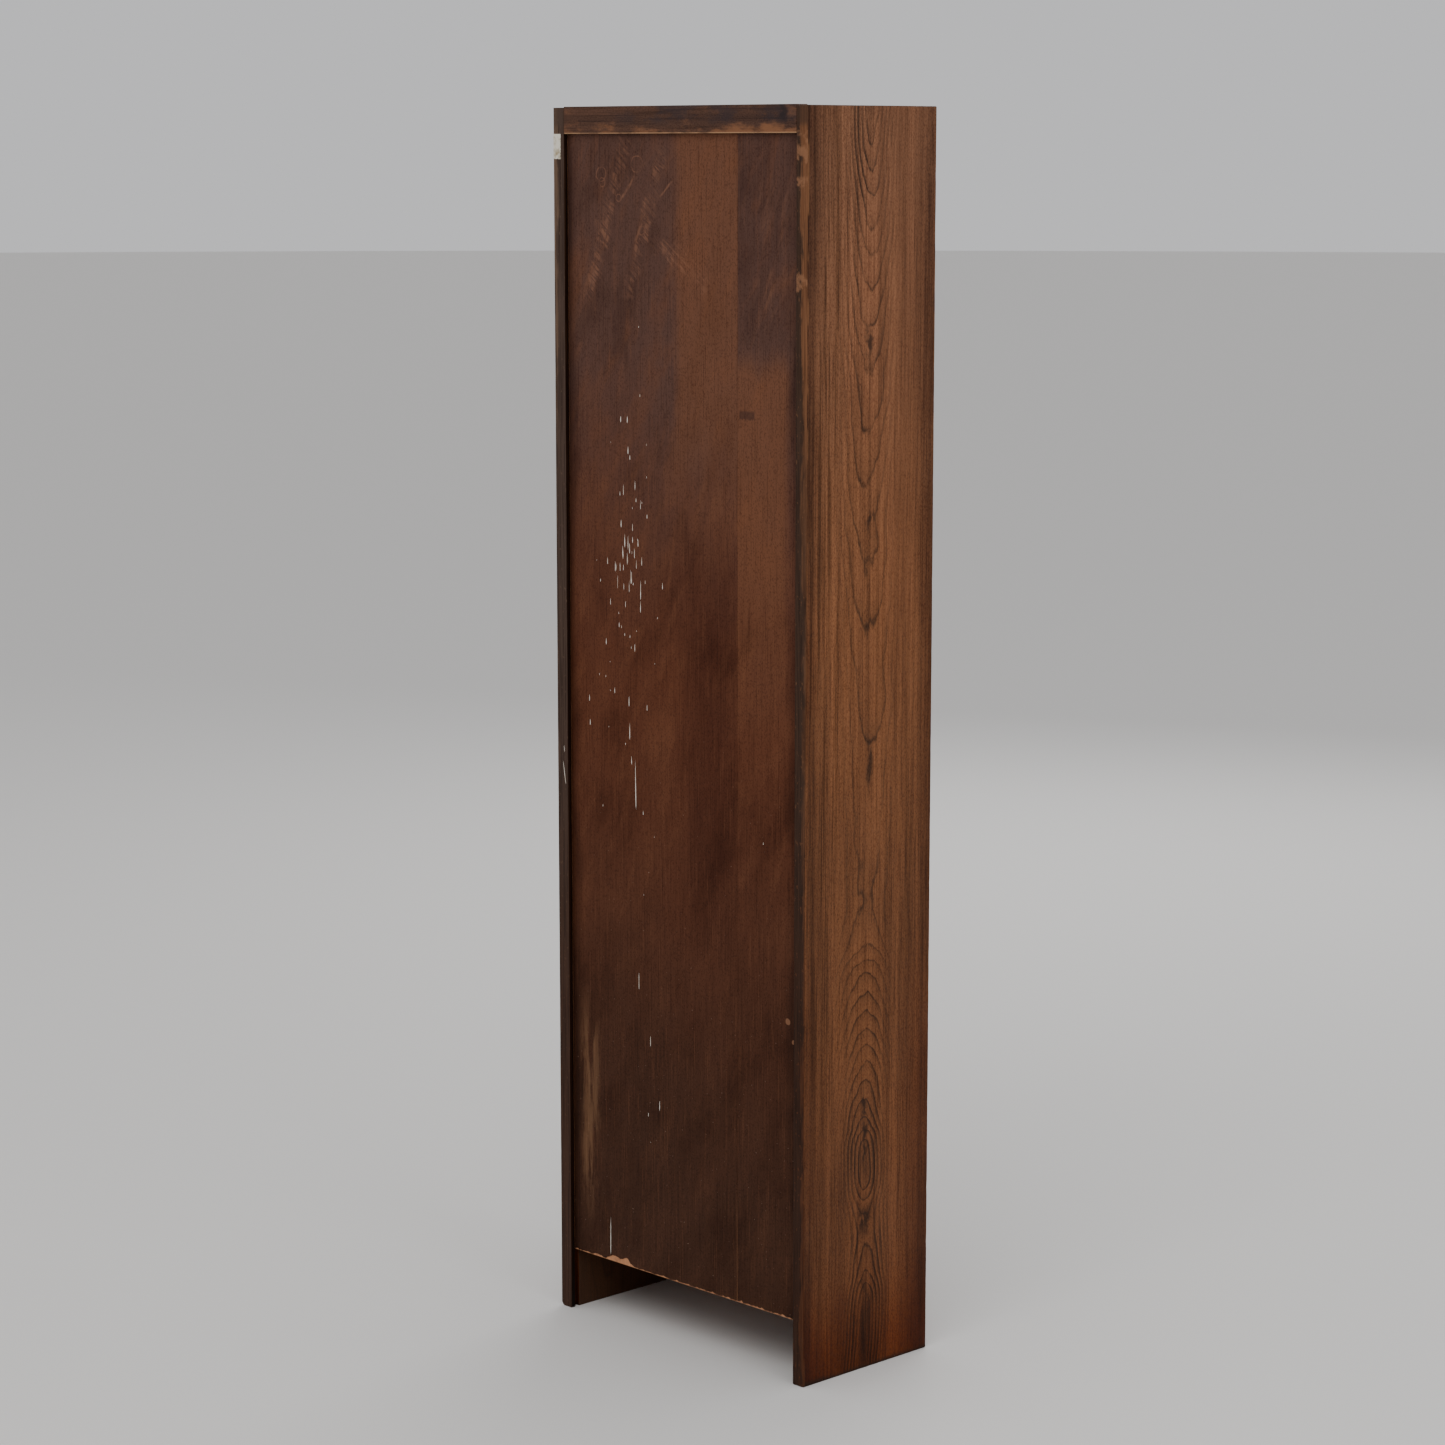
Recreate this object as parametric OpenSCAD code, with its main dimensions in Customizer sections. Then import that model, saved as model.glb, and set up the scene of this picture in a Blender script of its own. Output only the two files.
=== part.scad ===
// A tall, slim bookcase with a column of glazed doors that lift and slide back.
//
// Each compartment has its own door. The door hangs from two pivot pins at its top corners.
// The pins turn in brass shoes, and the shoes slide in grooves cut in the side boards.
// +Z is up and the doors face -Y. The origin is on the floor, in the middle of the width
// and of the whole depth, with the knobs counted in it. Left and right are as seen from
// in front of the doors, so the left side board is at -X.

/* [Case] */
// Height of the case, from the floor to the top of the back rail
case_h = 1397; // [1150:1:1700]
// Width of the case over its two side boards
case_w = 403; // [330:1:490]
// Depth of the case, from the shelves' front edges to the side boards' rear edges
case_d = 198; // [165:1:240]
// Thickness of the side boards, the shelves, the top and the plinth
board_t = 17; // [14:0.5:21]
// Number of compartments, each with its own door
compartments = 6; // [3:1:6]
// Height of the bottom shelf's underside above the floor
base_clear = 74; // [60:1:90]
// How far the side boards stop short of the back rail's top
side_drop = 1; // [0:0.5:3]
// Depth of the housings that hold the shelves' ends
housing_d = 4; // [2:0.5:6]
// How far the plinth is set back from the front
plinth_set = 15; // [8:1:30]

/* [Back] */
// Thickness of the back panel
panel_t = 6; // [4:0.5:8]
// How far the panel is set in from the side boards' rear edges
panel_inset = 6; // [3:0.5:9]
// Height of the panel's free bottom edge above the floor
panel_foot = 71; // [55:1:74]
// Depth of the grooves that hold the panel's long edges and its top edge
panel_groove = 6; // [3:0.5:7]
// Height of the top back rail
rail_h = 30; // [24:1:40]
// Thickness of the top back rail
rail_t = 18; // [16:0.5:22]

/* [Doors] */
// Thickness of the door frames
door_t = 18; // [15:0.5:22]
// Width of the frames' upright stiles
stile_w = 32; // [26:1:42]
// Width of the frames' cross rails
cross_w = 32; // [26:1:42]
// How far a closed door's face is set back from the case's front edges
door_set = 2; // [1:0.5:5]
// Gap between a door and the side board, on each side
door_side_gap = 2.5; // [1.5:0.5:4]
// Gap above a closed door
door_top_gap = 2; // [1.5:0.5:4]
// Gap below a closed door
door_foot_gap = 1.5; // [1:0.5:4]
// Thickness of the glass
glass_t = 3; // [2:0.5:4]
// Thickness of the frame's lip in front of the glass
lip_t = 7; // [5:0.5:9]
// Width of the rebate that the glass sits in
rebate_w = 7; // [5:0.5:9]

/* [Door hardware] */
// Radius of the pivot pins
pin_r = 2; // [1.5:0.25:2.5]
// Depth of the pin's hole in the stile's edge
pin_in_stile = 13; // [8:1:16]
// Length of a sliding shoe
shoe_l = 14; // [10:1:20]
// Height of the grooves that the shoes slide in
slide_h = 8; // [7:0.5:10]
// Depth of the grooves that the shoes slide in
slide_d = 7; // [5:0.5:9]
// How far a knob stands out from the door's face
knob_len = 17; // [12:0.5:19]
// Largest radius of a knob
knob_r = 8; // [6:0.5:10]

/* [Hidden] */
$fn = 48;

// Running clearances and small fits
pin_fit = 0.05;          // radial, pivot pin in its shoe
shoe_fit = 0.1;          // above and below a shoe in its groove
shoe_end_gap = 0.5;      // shoe to the bottom of its groove, and at each end of its travel
shoe_proud = 1.5;        // shoe beyond the side board's inner face
plug_gap = 0.3;          // plug to the shoe at rest
panel_fit = 0.15;        // panel to each side of its groove
panel_end_gap = 0.5;     // panel to the bottom of its grooves
joint_fit = 0.1;         // round a tenon in its mortise
stop_gap = 0.3;          // closed door to its stop strip
stow_gap = 2;            // stowed door to the back panel
knob_gap = 3;            // stowed door's knob to the case's front edges
glass_fit = 0.5;         // glass to the edges of its rebate
bead_fit = 0.1;          // round each glazing bead, and between two
cut = 1;                 // how far a cutter runs past the face that it opens

// Small pieces
tenon_t = 6;
tenon_l = stile_w - pin_in_stile - 2;
tenon_shoulder = 6;
stop_d = 8;
stop_h = 6;
stop_end_gap = 1;
block_w = 45;
block_s = 20;
block_count = 3;
panel_pin_r = 0.8;
panel_pin_l = 22;
panel_pin_sunk = 0.5;
panel_pin_count = 4;
knob_base_r = 7;
knob_base_t = 2;
knob_neck_r = 3.5;
knob_shank_r = 2;
knob_shank_l = 12;
scrap_w = 12;
scrap_h = 28;
scrap_t = 0.3;

// Places across the width
inner_w = case_w - 2 * board_t;
door_w = inner_w - 2 * door_side_gap;
sight_w = door_w - 2 * stile_w;

// Places through the depth
knob_out = knob_len - door_set;
y_front = knob_out - (case_d + knob_out + scrap_t) / 2;
y_rear = y_front + case_d;
panel_y1 = y_rear - panel_inset;
panel_y0 = panel_y1 - panel_t;
axis_inset = door_set + door_t / 2;
axis_y = y_front + axis_inset;
door_y0 = y_front + door_set;
door_y1 = door_y0 + door_t;
glass_y0 = door_y0 + lip_t;
glass_y1 = glass_y0 + glass_t;

// Heights
side_h = case_h - side_drop;
clear_h = (side_h - base_clear - (compartments + 1) * board_t) / compartments;
pitch = clear_h + board_t;
panel_top = case_h - rail_h + panel_groove - panel_end_gap;

// Travel of a shoe: the knob meets the case's front edges, or the door meets the back
knob_up = door_foot_gap + cross_w / 2;
knob_travel = clear_h - door_top_gap - door_t / 2 - knob_up - axis_inset - knob_r - knob_gap;
depth_travel = panel_y0 - axis_y - door_t / 2 - stow_gap;
travel = min(knob_travel, depth_travel);

oak = [0.46, 0.32, 0.21];
dark_oak = [0.30, 0.19, 0.12];
veneer = [0.36, 0.21, 0.15];
clear_glass = [0.75, 0.84, 0.82, 0.4];
brass = [0.72, 0.56, 0.26];
steel = [0.60, 0.60, 0.60];
paper = [0.86, 0.84, 0.76];

// Height of the floor of compartment i, counted from 1 at the bottom
function floor_z(i) = base_clear + board_t + (i - 1) * pitch;

// Heights of door i: its bottom edge, its pivot axis, and the glass opening's two ends
function foot_z(i) = floor_z(i) + door_foot_gap;
function axis_z(i) = floor_z(i) + clear_h - door_top_gap - door_t / 2;
function sight_z0(i) = foot_z(i) + cross_w;
function sight_z1(i) = axis_z(i) + door_t / 2 - cross_w;

// A box between two opposite corners
module span(low, high) {
    translate(low) cube(high - low);
}

// A cylinder along +X from x0 to x1
module rod_x(x0, x1, y, z, r) {
    translate([x0, y, z]) rotate([0, 90, 0]) cylinder(r = r, h = x1 - x0);
}

// A piece at +X and its mirror image at -X
module both_sides() {
    children();
    mirror([1, 0, 0]) children();
}

// Side board at +X, with the grooves and housings that hold everything else
module side_board() {
    inner = inner_w / 2;
    difference() {
        span([inner, y_front, 0], [case_w / 2, y_rear, side_h]);
        span([inner - cut, panel_y0 - panel_fit, -cut],
             [inner + panel_groove, panel_y1 + panel_fit, case_h - rail_h + panel_groove]);
        for (i = [1:compartments]) {
            shelf_housing(floor_z(i) - board_t, panel_y0);
            span([inner - cut, y_front - cut, axis_z(i) - slide_h / 2],
                 [inner + slide_d, axis_y + travel + shoe_l / 2 + shoe_end_gap, axis_z(i) + slide_h / 2]);
        }
        shelf_housing(side_h - board_t, y_rear - rail_t, cut);
    }
}

// Housing for one shelf's end, open at the front edge; above lets it run out of the top
module shelf_housing(z, y1, above = 0) {
    span([inner_w / 2 - cut, y_front - cut, z], [inner_w / 2 + housing_d, y1, z + board_t + above]);
}

module side_right() {
    color(oak) side_board();
}

module side_left() {
    color(oak) mirror([1, 0, 0]) side_board();
}

// One horizontal board, held at both ends in the side boards' housings
module shelf_board(z, y1) {
    half = inner_w / 2 + housing_d;
    span([-half, y_front, z], [half, y1, z + board_t]);
}

module top_board() {
    color(oak) shelf_board(side_h - board_t, y_rear - rail_t);
}

// The bottom shelf, bored in its rear edge for the panel pins
module bottom_shelf() {
    color(oak) difference() {
        shelf_board(base_clear, panel_y0);
        panel_pin_set(panel_pin_r);
    }
}

// The shelf that divides compartment i from the one above it
module shelf(i) {
    color(oak) shelf_board(floor_z(i + 1) - board_t, panel_y0);
}

// Back panel: slid up the side boards' grooves into the back rail, its bottom edge free
module back_panel() {
    half = inner_w / 2 + panel_groove - panel_end_gap;
    color(veneer) difference() {
        span([-half, panel_y0, panel_foot], [half, panel_y1, panel_top]);
        panel_pin_set(panel_pin_r);
    }
}

// Top back rail, between the side boards and flush with their rear edges
module back_rail() {
    half = inner_w / 2;
    groove_z1 = case_h - rail_h + panel_groove;
    color(dark_oak) difference() {
        span([-half, y_rear - rail_t, case_h - rail_h], [half, y_rear, case_h]);
        span([-half - cut, panel_y0 - panel_fit, case_h - rail_h - cut],
             [half + cut, panel_y1 + panel_fit, groove_z1]);
    }
}

// Front board under the bottom shelf, set back from the doors
module plinth() {
    y0 = y_front + plinth_set;
    color(oak) span([-inner_w / 2, y0, 0], [inner_w / 2, y0 + board_t, base_clear]);
}

// Glue blocks in the corner between the plinth and the bottom shelf
module glue_blocks() {
    y0 = y_front + plinth_set + board_t;
    step = (inner_w - block_w) / (block_count + 1);
    color(dark_oak) for (k = [1:block_count]) {
        x0 = -inner_w / 2 + k * step;
        span([x0, y0, base_clear - block_s], [x0 + block_w, y0 + block_s, base_clear]);
    }
}

// The row of pins through the panel into the bottom shelf
module panel_pin_set(r) {
    step = inner_w / panel_pin_count;
    y1 = panel_y1 - panel_pin_sunk;
    for (k = [0:panel_pin_count - 1]) {
        translate([-inner_w / 2 + (k + 0.5) * step, y1, base_clear + board_t / 2])
            rotate([90, 0, 0]) cylinder(r = r, h = panel_pin_l, $fn = 24);
    }
}

module panel_pins() {
    color(steel) panel_pin_set(panel_pin_r);
}

// Strips on the shelves that a closed door's bottom rail rests against
module door_stops() {
    half = inner_w / 2 - stop_end_gap;
    y0 = door_y1 + stop_gap;
    color(oak) for (i = [1:compartments]) {
        span([-half, y0, floor_z(i)], [half, y0 + stop_d, floor_z(i) + stop_h]);
    }
}

// Plugs that close the sliding grooves in front of the shoes
module groove_plugs() {
    y1 = axis_y - shoe_l / 2 - plug_gap;
    color(dark_oak) both_sides() for (i = [1:compartments]) {
        span([inner_w / 2, y_front, axis_z(i) - slide_h / 2],
             [inner_w / 2 + slide_d, y1, axis_z(i) + slide_h / 2]);
    }
}

// A scrap of plain paper stuck on the right side board's rear edge, under the back rail
module paper_scrap() {
    z1 = case_h - rail_h;
    color(paper) span([case_w / 2 - scrap_w, y_rear, z1 - scrap_h], [case_w / 2, y_rear + scrap_t, z1]);
}

// A bar of door i's frame between two places across the width, round along its top edge
module round_top_bar(i, x0, x1, z0) {
    span([x0, door_y0, z0], [x1, door_y1, axis_z(i)]);
    rod_x(x0, x1, axis_y, axis_z(i), door_t / 2);
}

// The rebate behind the glass opening of door i, cut from the frame's inner face
module rebate(i) {
    half = sight_w / 2 + rebate_w;
    span([-half, glass_y0, sight_z0(i) - rebate_w], [half, door_y1 + cut, sight_z1(i) + rebate_w]);
}

// Both rails' tenons at +X, or with fit set, the mortises that they sit in
module tenons(i, fit = 0) {
    inner_edge = rebate_w + 1;
    for (z = [[foot_z(i) + tenon_shoulder, sight_z0(i) - inner_edge],
              [sight_z1(i) + inner_edge, axis_z(i) + door_t / 2 - tenon_shoulder]]) {
        span([sight_w / 2 - cut, axis_y - tenon_t / 2 - fit, z[0] - fit],
             [sight_w / 2 + tenon_l + fit, axis_y + tenon_t / 2 + fit, z[1] + fit]);
    }
}

// Both stiles, mortised for the rails and bored for the pivot pins
module door_stiles(i) {
    color(oak) both_sides() difference() {
        round_top_bar(i, sight_w / 2, door_w / 2, foot_z(i));
        rebate(i);
        tenons(i, joint_fit);
        rod_x(door_w / 2 - pin_in_stile, door_w / 2 + cut, axis_y, axis_z(i), pin_r);
    }
}

// Both rails; the bottom one is bored for the knob's shank
module door_rails(i) {
    half = sight_w / 2;
    color(oak) difference() {
        union() {
            round_top_bar(i, -half, half, sight_z1(i));
            span([-half, door_y0, foot_z(i)], [half, door_y1, sight_z0(i)]);
            both_sides() tenons(i);
        }
        rebate(i);
        knob_shank(i);
    }
}

module door_glass(i) {
    half = sight_w / 2 + rebate_w - glass_fit;
    grow = rebate_w - glass_fit;
    color(clear_glass) span([-half, glass_y0, sight_z0(i) - grow], [half, glass_y1, sight_z1(i) + grow]);
}

// Four strips that hold the glass in its rebate
module door_beads(i) {
    bead_w = rebate_w - bead_fit;
    x1 = sight_w / 2 + bead_w;
    z0 = sight_z0(i) - bead_w;
    z1 = sight_z1(i) + bead_w;
    color(oak) {
        for (z = [z0, z1 - bead_w]) span([-x1, glass_y1, z], [x1, door_y1, z + bead_w]);
        both_sides() span([x1 - bead_w, glass_y1, z0 + bead_w + bead_fit],
                          [x1, door_y1, z1 - bead_w - bead_fit]);
    }
}

// The threaded shank that holds a knob in the bottom rail
module knob_shank(i) {
    translate([0, door_y0, foot_z(i) + cross_w / 2]) rotate([-90, 0, 0])
        cylinder(r = knob_shank_r, h = knob_shank_l);
}

module door_knob(i) {
    color(brass) {
        translate([0, door_y0, foot_z(i) + cross_w / 2]) rotate([90, 0, 0]) {
            cylinder(r = knob_base_r, h = knob_base_t);
            cylinder(r = knob_neck_r, h = knob_len - knob_r);
            translate([0, 0, knob_len - knob_r]) sphere(r = knob_r);
        }
        knob_shank(i);
    }
}

// Pivot pins: fixed in the stiles' edges, turning in the shoes
module door_pins(i) {
    x1 = inner_w / 2 + slide_d - 2 * shoe_end_gap;
    color(steel) both_sides() rod_x(door_w / 2 - pin_in_stile, x1, axis_y, axis_z(i), pin_r);
}

// Brass shoes that carry the pivot pins along the grooves
module door_shoes(i) {
    half_h = slide_h / 2 - shoe_fit;
    x0 = inner_w / 2 - shoe_proud;
    x1 = inner_w / 2 + slide_d - shoe_end_gap;
    color(brass) both_sides() difference() {
        span([x0, axis_y - shoe_l / 2, axis_z(i) - half_h], [x1, axis_y + shoe_l / 2, axis_z(i) + half_h]);
        rod_x(x0 - cut, x1 + cut, axis_y, axis_z(i), pin_r + pin_fit);
    }
}

side_left();
side_right();
top_board();
bottom_shelf();
for (i = [1:compartments - 1]) {
    shelf(i);
}
back_panel();
back_rail();
plinth();
glue_blocks();
panel_pins();
door_stops();
groove_plugs();
paper_scrap();
for (i = [1:compartments]) {
    door_stiles(i);
    door_rails(i);
    door_glass(i);
    door_beads(i);
    door_knob(i);
    door_pins(i);
    door_shoes(i);
}
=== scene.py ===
"""Looks of a tall, slim bookcase with a column of glazed doors that lift and slide back.

The case stands with its back and its left side board to the viewer. Every piece is made here
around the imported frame: the joinery keeps its cut shape and gets eased edges, and the back
panel, its paint drips, the glazing beads, the knobs and the paper scrap are modelled afresh.
"""

import logging
import math
import random
from dataclasses import dataclass, field
from enum import Enum

import bmesh
import bpy
from mathutils import Matrix, Vector, noise


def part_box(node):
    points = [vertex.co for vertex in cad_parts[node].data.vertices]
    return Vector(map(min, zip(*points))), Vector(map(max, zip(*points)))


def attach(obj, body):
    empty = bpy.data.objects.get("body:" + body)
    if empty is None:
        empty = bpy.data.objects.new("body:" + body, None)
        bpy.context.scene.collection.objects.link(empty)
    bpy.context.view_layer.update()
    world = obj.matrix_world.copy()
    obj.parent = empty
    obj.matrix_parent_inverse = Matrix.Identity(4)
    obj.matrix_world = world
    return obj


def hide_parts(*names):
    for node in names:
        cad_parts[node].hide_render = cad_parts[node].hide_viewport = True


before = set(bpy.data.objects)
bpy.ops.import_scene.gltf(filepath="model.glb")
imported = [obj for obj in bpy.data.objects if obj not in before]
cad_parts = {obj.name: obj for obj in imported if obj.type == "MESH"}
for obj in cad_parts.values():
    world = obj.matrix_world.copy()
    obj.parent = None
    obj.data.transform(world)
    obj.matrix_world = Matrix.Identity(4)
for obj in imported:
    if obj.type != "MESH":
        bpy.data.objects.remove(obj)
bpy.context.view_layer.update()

log = logging.getLogger("bookcase")
MM = 0.001
DOORS = 6
SHELVES = 5
Colour = tuple[float, float, float, float]
Socket = bpy.types.NodeSocket
Value = float | Socket
Shade = Colour | Socket
Pair = tuple[float, float]
Triple = tuple[float, float, float]


def tone(red: int, green: int, blue: int) -> Colour:
    """Turn a display colour into the linear colour that a shader takes.

    Args:
        red: Red, 0 to 255.
        green: Green, 0 to 255.
        blue: Blue, 0 to 255.

    Returns:
        Linear red, green, blue and an alpha of 1.
    """
    linear = [c / 12.92 if c <= 0.04045 else ((c + 0.055) / 1.055) ** 2.4
              for c in (red / 255, green / 255, blue / 255)]
    return (*linear, 1.0)


class Grain(Enum):
    """Which way a board's fibres run, then across its broad face, then into its thickness."""

    UPRIGHT_SIDE = ("z", "y", "x")
    UPRIGHT_FRONT = ("z", "x", "y")
    LEVEL_FRONT = ("x", "z", "y")
    LEVEL_FLAT = ("x", "y", "z")


class Recipe:
    """One material's node tree, built up a step at a time, with the colour that it has so far."""

    def __init__(self, name: str) -> None:
        """Start a material with a Principled shader and the piece's own coordinates.

        Args:
            name: The material's name.
        """
        self.material = bpy.data.materials.new(name)
        self.material.use_nodes = True
        self.nodes = self.material.node_tree.nodes
        self.links = self.material.node_tree.links
        self.shader = self.nodes["Principled BSDF"]
        self.place = self.nodes.new("ShaderNodeTexCoord").outputs["Object"]
        parts = self.nodes.new("ShaderNodeSeparateXYZ")
        self.links.new(self.place, parts.inputs[0])
        self.x, self.y, self.z = parts.outputs
        self.colour: Shade = tone(128, 128, 128)

    def feed(self, socket: Socket, value: Value | Shade) -> None:
        """Link a socket to another, or set its own value.

        Args:
            socket: The socket that is fed.
            value: What it takes.
        """
        if isinstance(value, Socket):
            self.links.new(value, socket)
        else:
            socket.default_value = value

    def math(self, operation: str, a: Value, b: Value = 0.0) -> Socket:
        """Combine two values.

        Args:
            operation: A Math node's operation.
            a: The first value.
            b: The second value.

        Returns:
            The result's socket.
        """
        node = self.nodes.new("ShaderNodeMath")
        node.operation = operation
        self.feed(node.inputs[0], a)
        self.feed(node.inputs[1], b)
        return node.outputs[0]

    def add(self, a: Value, b: Value) -> Socket:
        """Add two values."""
        return self.math("ADD", a, b)

    def take(self, a: Value, b: Value) -> Socket:
        """Take the second value from the first."""
        return self.math("SUBTRACT", a, b)

    def times(self, a: Value, b: Value) -> Socket:
        """Multiply two values."""
        return self.math("MULTIPLY", a, b)

    def unsigned(self, a: Value) -> Socket:
        """Drop a value's sign."""
        return self.math("ABSOLUTE", a)

    def hypot(self, a: Value, b: Value) -> Socket:
        """Measure the long side of a right angle whose legs are two values."""
        return self.math("SQRT", self.add(self.times(a, a), self.times(b, b)))

    def stray(self, value: Value, pattern: Value, reach: float) -> Socket:
        """Move a value to and fro by a pattern that is about 0.5 on average."""
        return self.add(value, self.times(self.take(pattern, 0.5), reach))

    def both(self, *masks: Value) -> Socket:
        """Multiply masks together.

        Args:
            *masks: The masks, or plain shares of 1.

        Returns:
            The product's socket.
        """
        result = masks[0]
        for mask in masks[1:]:
            result = self.times(result, mask)
        return result

    def either(self, *masks: Value) -> Socket:
        """Keep the strongest of several masks.

        Args:
            *masks: The masks.

        Returns:
            The strongest one's socket.
        """
        result = masks[0]
        for mask in masks[1:]:
            result = self.math("MAXIMUM", result, mask)
        return result

    def rise(self, value: Value, start: float, end: float, low: float = 0.0, high: float = 1.0) -> Socket:
        """Turn a value into a smooth step.

        Args:
            value: What is stepped.
            start: Where the step starts.
            end: Where it ends, which may be below the start.
            low: The result before the start.
            high: The result past the end.

        Returns:
            The result's socket.
        """
        node = self.nodes.new("ShaderNodeMapRange")
        node.interpolation_type = "SMOOTHSTEP"
        if end < start:
            start, end, low, high = end, start, high, low
        self.feed(node.inputs["Value"], value)
        for name, number in (("From Min", start), ("From Max", end), ("To Min", low), ("To Max", high)):
            node.inputs[name].default_value = number
        return node.outputs["Result"]

    def band(self, value: Value, start: float, end: float, soft: float) -> Socket:
        """Mask the values between two places, with soft ends."""
        return self.times(self.rise(value, start - soft, start + soft),
                          self.rise(value, end + soft, end - soft))

    def mapping(self, setting: str, triple: Triple, place: Socket) -> bpy.types.Node:
        """Add a Mapping node over some coordinates.

        Args:
            setting: The input that is set.
            triple: What it is set to.
            place: The coordinates.

        Returns:
            The node.
        """
        node = self.nodes.new("ShaderNodeMapping")
        node.inputs[setting].default_value = triple
        self.links.new(place, node.inputs["Vector"])
        return node

    def cloud(self, scale: Triple, shift: float, detail: float = 3.0, rough: float = 0.5,
              warp: float = 0.0, turn: float = 0.0) -> Socket:
        """Make noise that is about 0.5 on average.

        Args:
            scale: Features per metre along X, Y and Z.
            shift: Moves the pattern, so that no two share one.
            detail: How many finer layers it has.
            rough: How strong the finer layers are.
            warp: How much it swirls.
            turn: How far it is turned about Y, in degrees.

        Returns:
            The noise's socket.
        """
        place = self.place
        if turn:
            place = self.mapping("Rotation", (0.0, math.radians(turn), 0.0), place).outputs[0]
        stretched = self.mapping("Scale", scale, place)
        stretched.inputs["Location"].default_value = (shift, shift * 1.7, shift * 0.6)
        node = self.nodes.new("ShaderNodeTexNoise")
        settings = {"Scale": 1.0, "Detail": detail, "Roughness": rough, "Distortion": warp}
        for name, number in settings.items():
            node.inputs[name].default_value = number
        self.links.new(stretched.outputs[0], node.inputs["Vector"])
        return node.outputs[0]

    def curve(self, value: Value, points: tuple[Pair, ...]) -> Socket:
        """Read a hand-drawn curve whose two axes run from 0 to 1.

        Args:
            value: The place along the curve.
            points: The curve's points, across and up.

        Returns:
            The curve's height there.
        """
        node = self.nodes.new("ShaderNodeFloatCurve")
        line = node.mapping.curves[0]
        while len(line.points) < len(points):
            line.points.new(0.5, 0.5)
        for point, place in zip(line.points, sorted(points)):
            point.location = place
        node.mapping.update()
        self.feed(node.inputs["Value"], value)
        return node.outputs[0]

    def blend(self, amount: Value, a: Shade, b: Shade, mode: str = "MIX") -> Socket:
        """Mix two colours.

        Args:
            amount: How much of the second colour shows.
            a: The first colour.
            b: The second colour.
            mode: The Mix node's blend type.

        Returns:
            The mixed colour's socket.
        """
        node = self.nodes.new("ShaderNodeMix")
        node.data_type = "RGBA"
        node.blend_type = mode
        node.clamp_factor = True
        for index, value in ((0, amount), (6, a), (7, b)):
            self.feed(node.inputs[index], value)
        return node.outputs[2]

    def cover(self, amount: Value, shade: Shade, mode: str = "MIX") -> None:
        """Lay a colour over the one so far."""
        self.colour = self.blend(amount, self.colour, shade, mode)

    def tint(self, amount: Value, red: int, green: int, blue: int) -> None:
        """Lay a display colour over the one so far."""
        self.cover(amount, tone(red, green, blue))

    def stain(self, amount: Value, red: int, green: int, blue: int) -> None:
        """Multiply the colour so far by a display colour."""
        self.cover(amount, tone(red, green, blue), "MULTIPLY")

    def relief(self, height: Value, depth: float, strength: float = 1.0) -> None:
        """Add fine relief to the surface.

        Args:
            height: The relief, 0 to 1.
            depth: How deep it is, in metres.
            strength: How strongly it shows.
        """
        node = self.nodes.new("ShaderNodeBump")
        node.inputs["Strength"].default_value = strength
        node.inputs["Distance"].default_value = depth
        self.feed(node.inputs["Height"], height)
        self.links.new(node.outputs[0], self.shader.inputs["Normal"])

    def finish(self, rough: Value, **settings: float) -> bpy.types.Material:
        """Give the shader its colour, its roughness and other plain settings.

        Args:
            rough: The roughness.
            **settings: Other sockets of the shader by name, with _ for a space.

        Returns:
            The finished material.
        """
        self.feed(self.shader.inputs["Base Color"], self.colour)
        self.feed(self.shader.inputs["Roughness"], rough)
        for name, value in settings.items():
            self.shader.inputs[name.replace("_", " ")].default_value = value
        return self.material


# --- Finishes ---------------------------------------------------------------------------------


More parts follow.
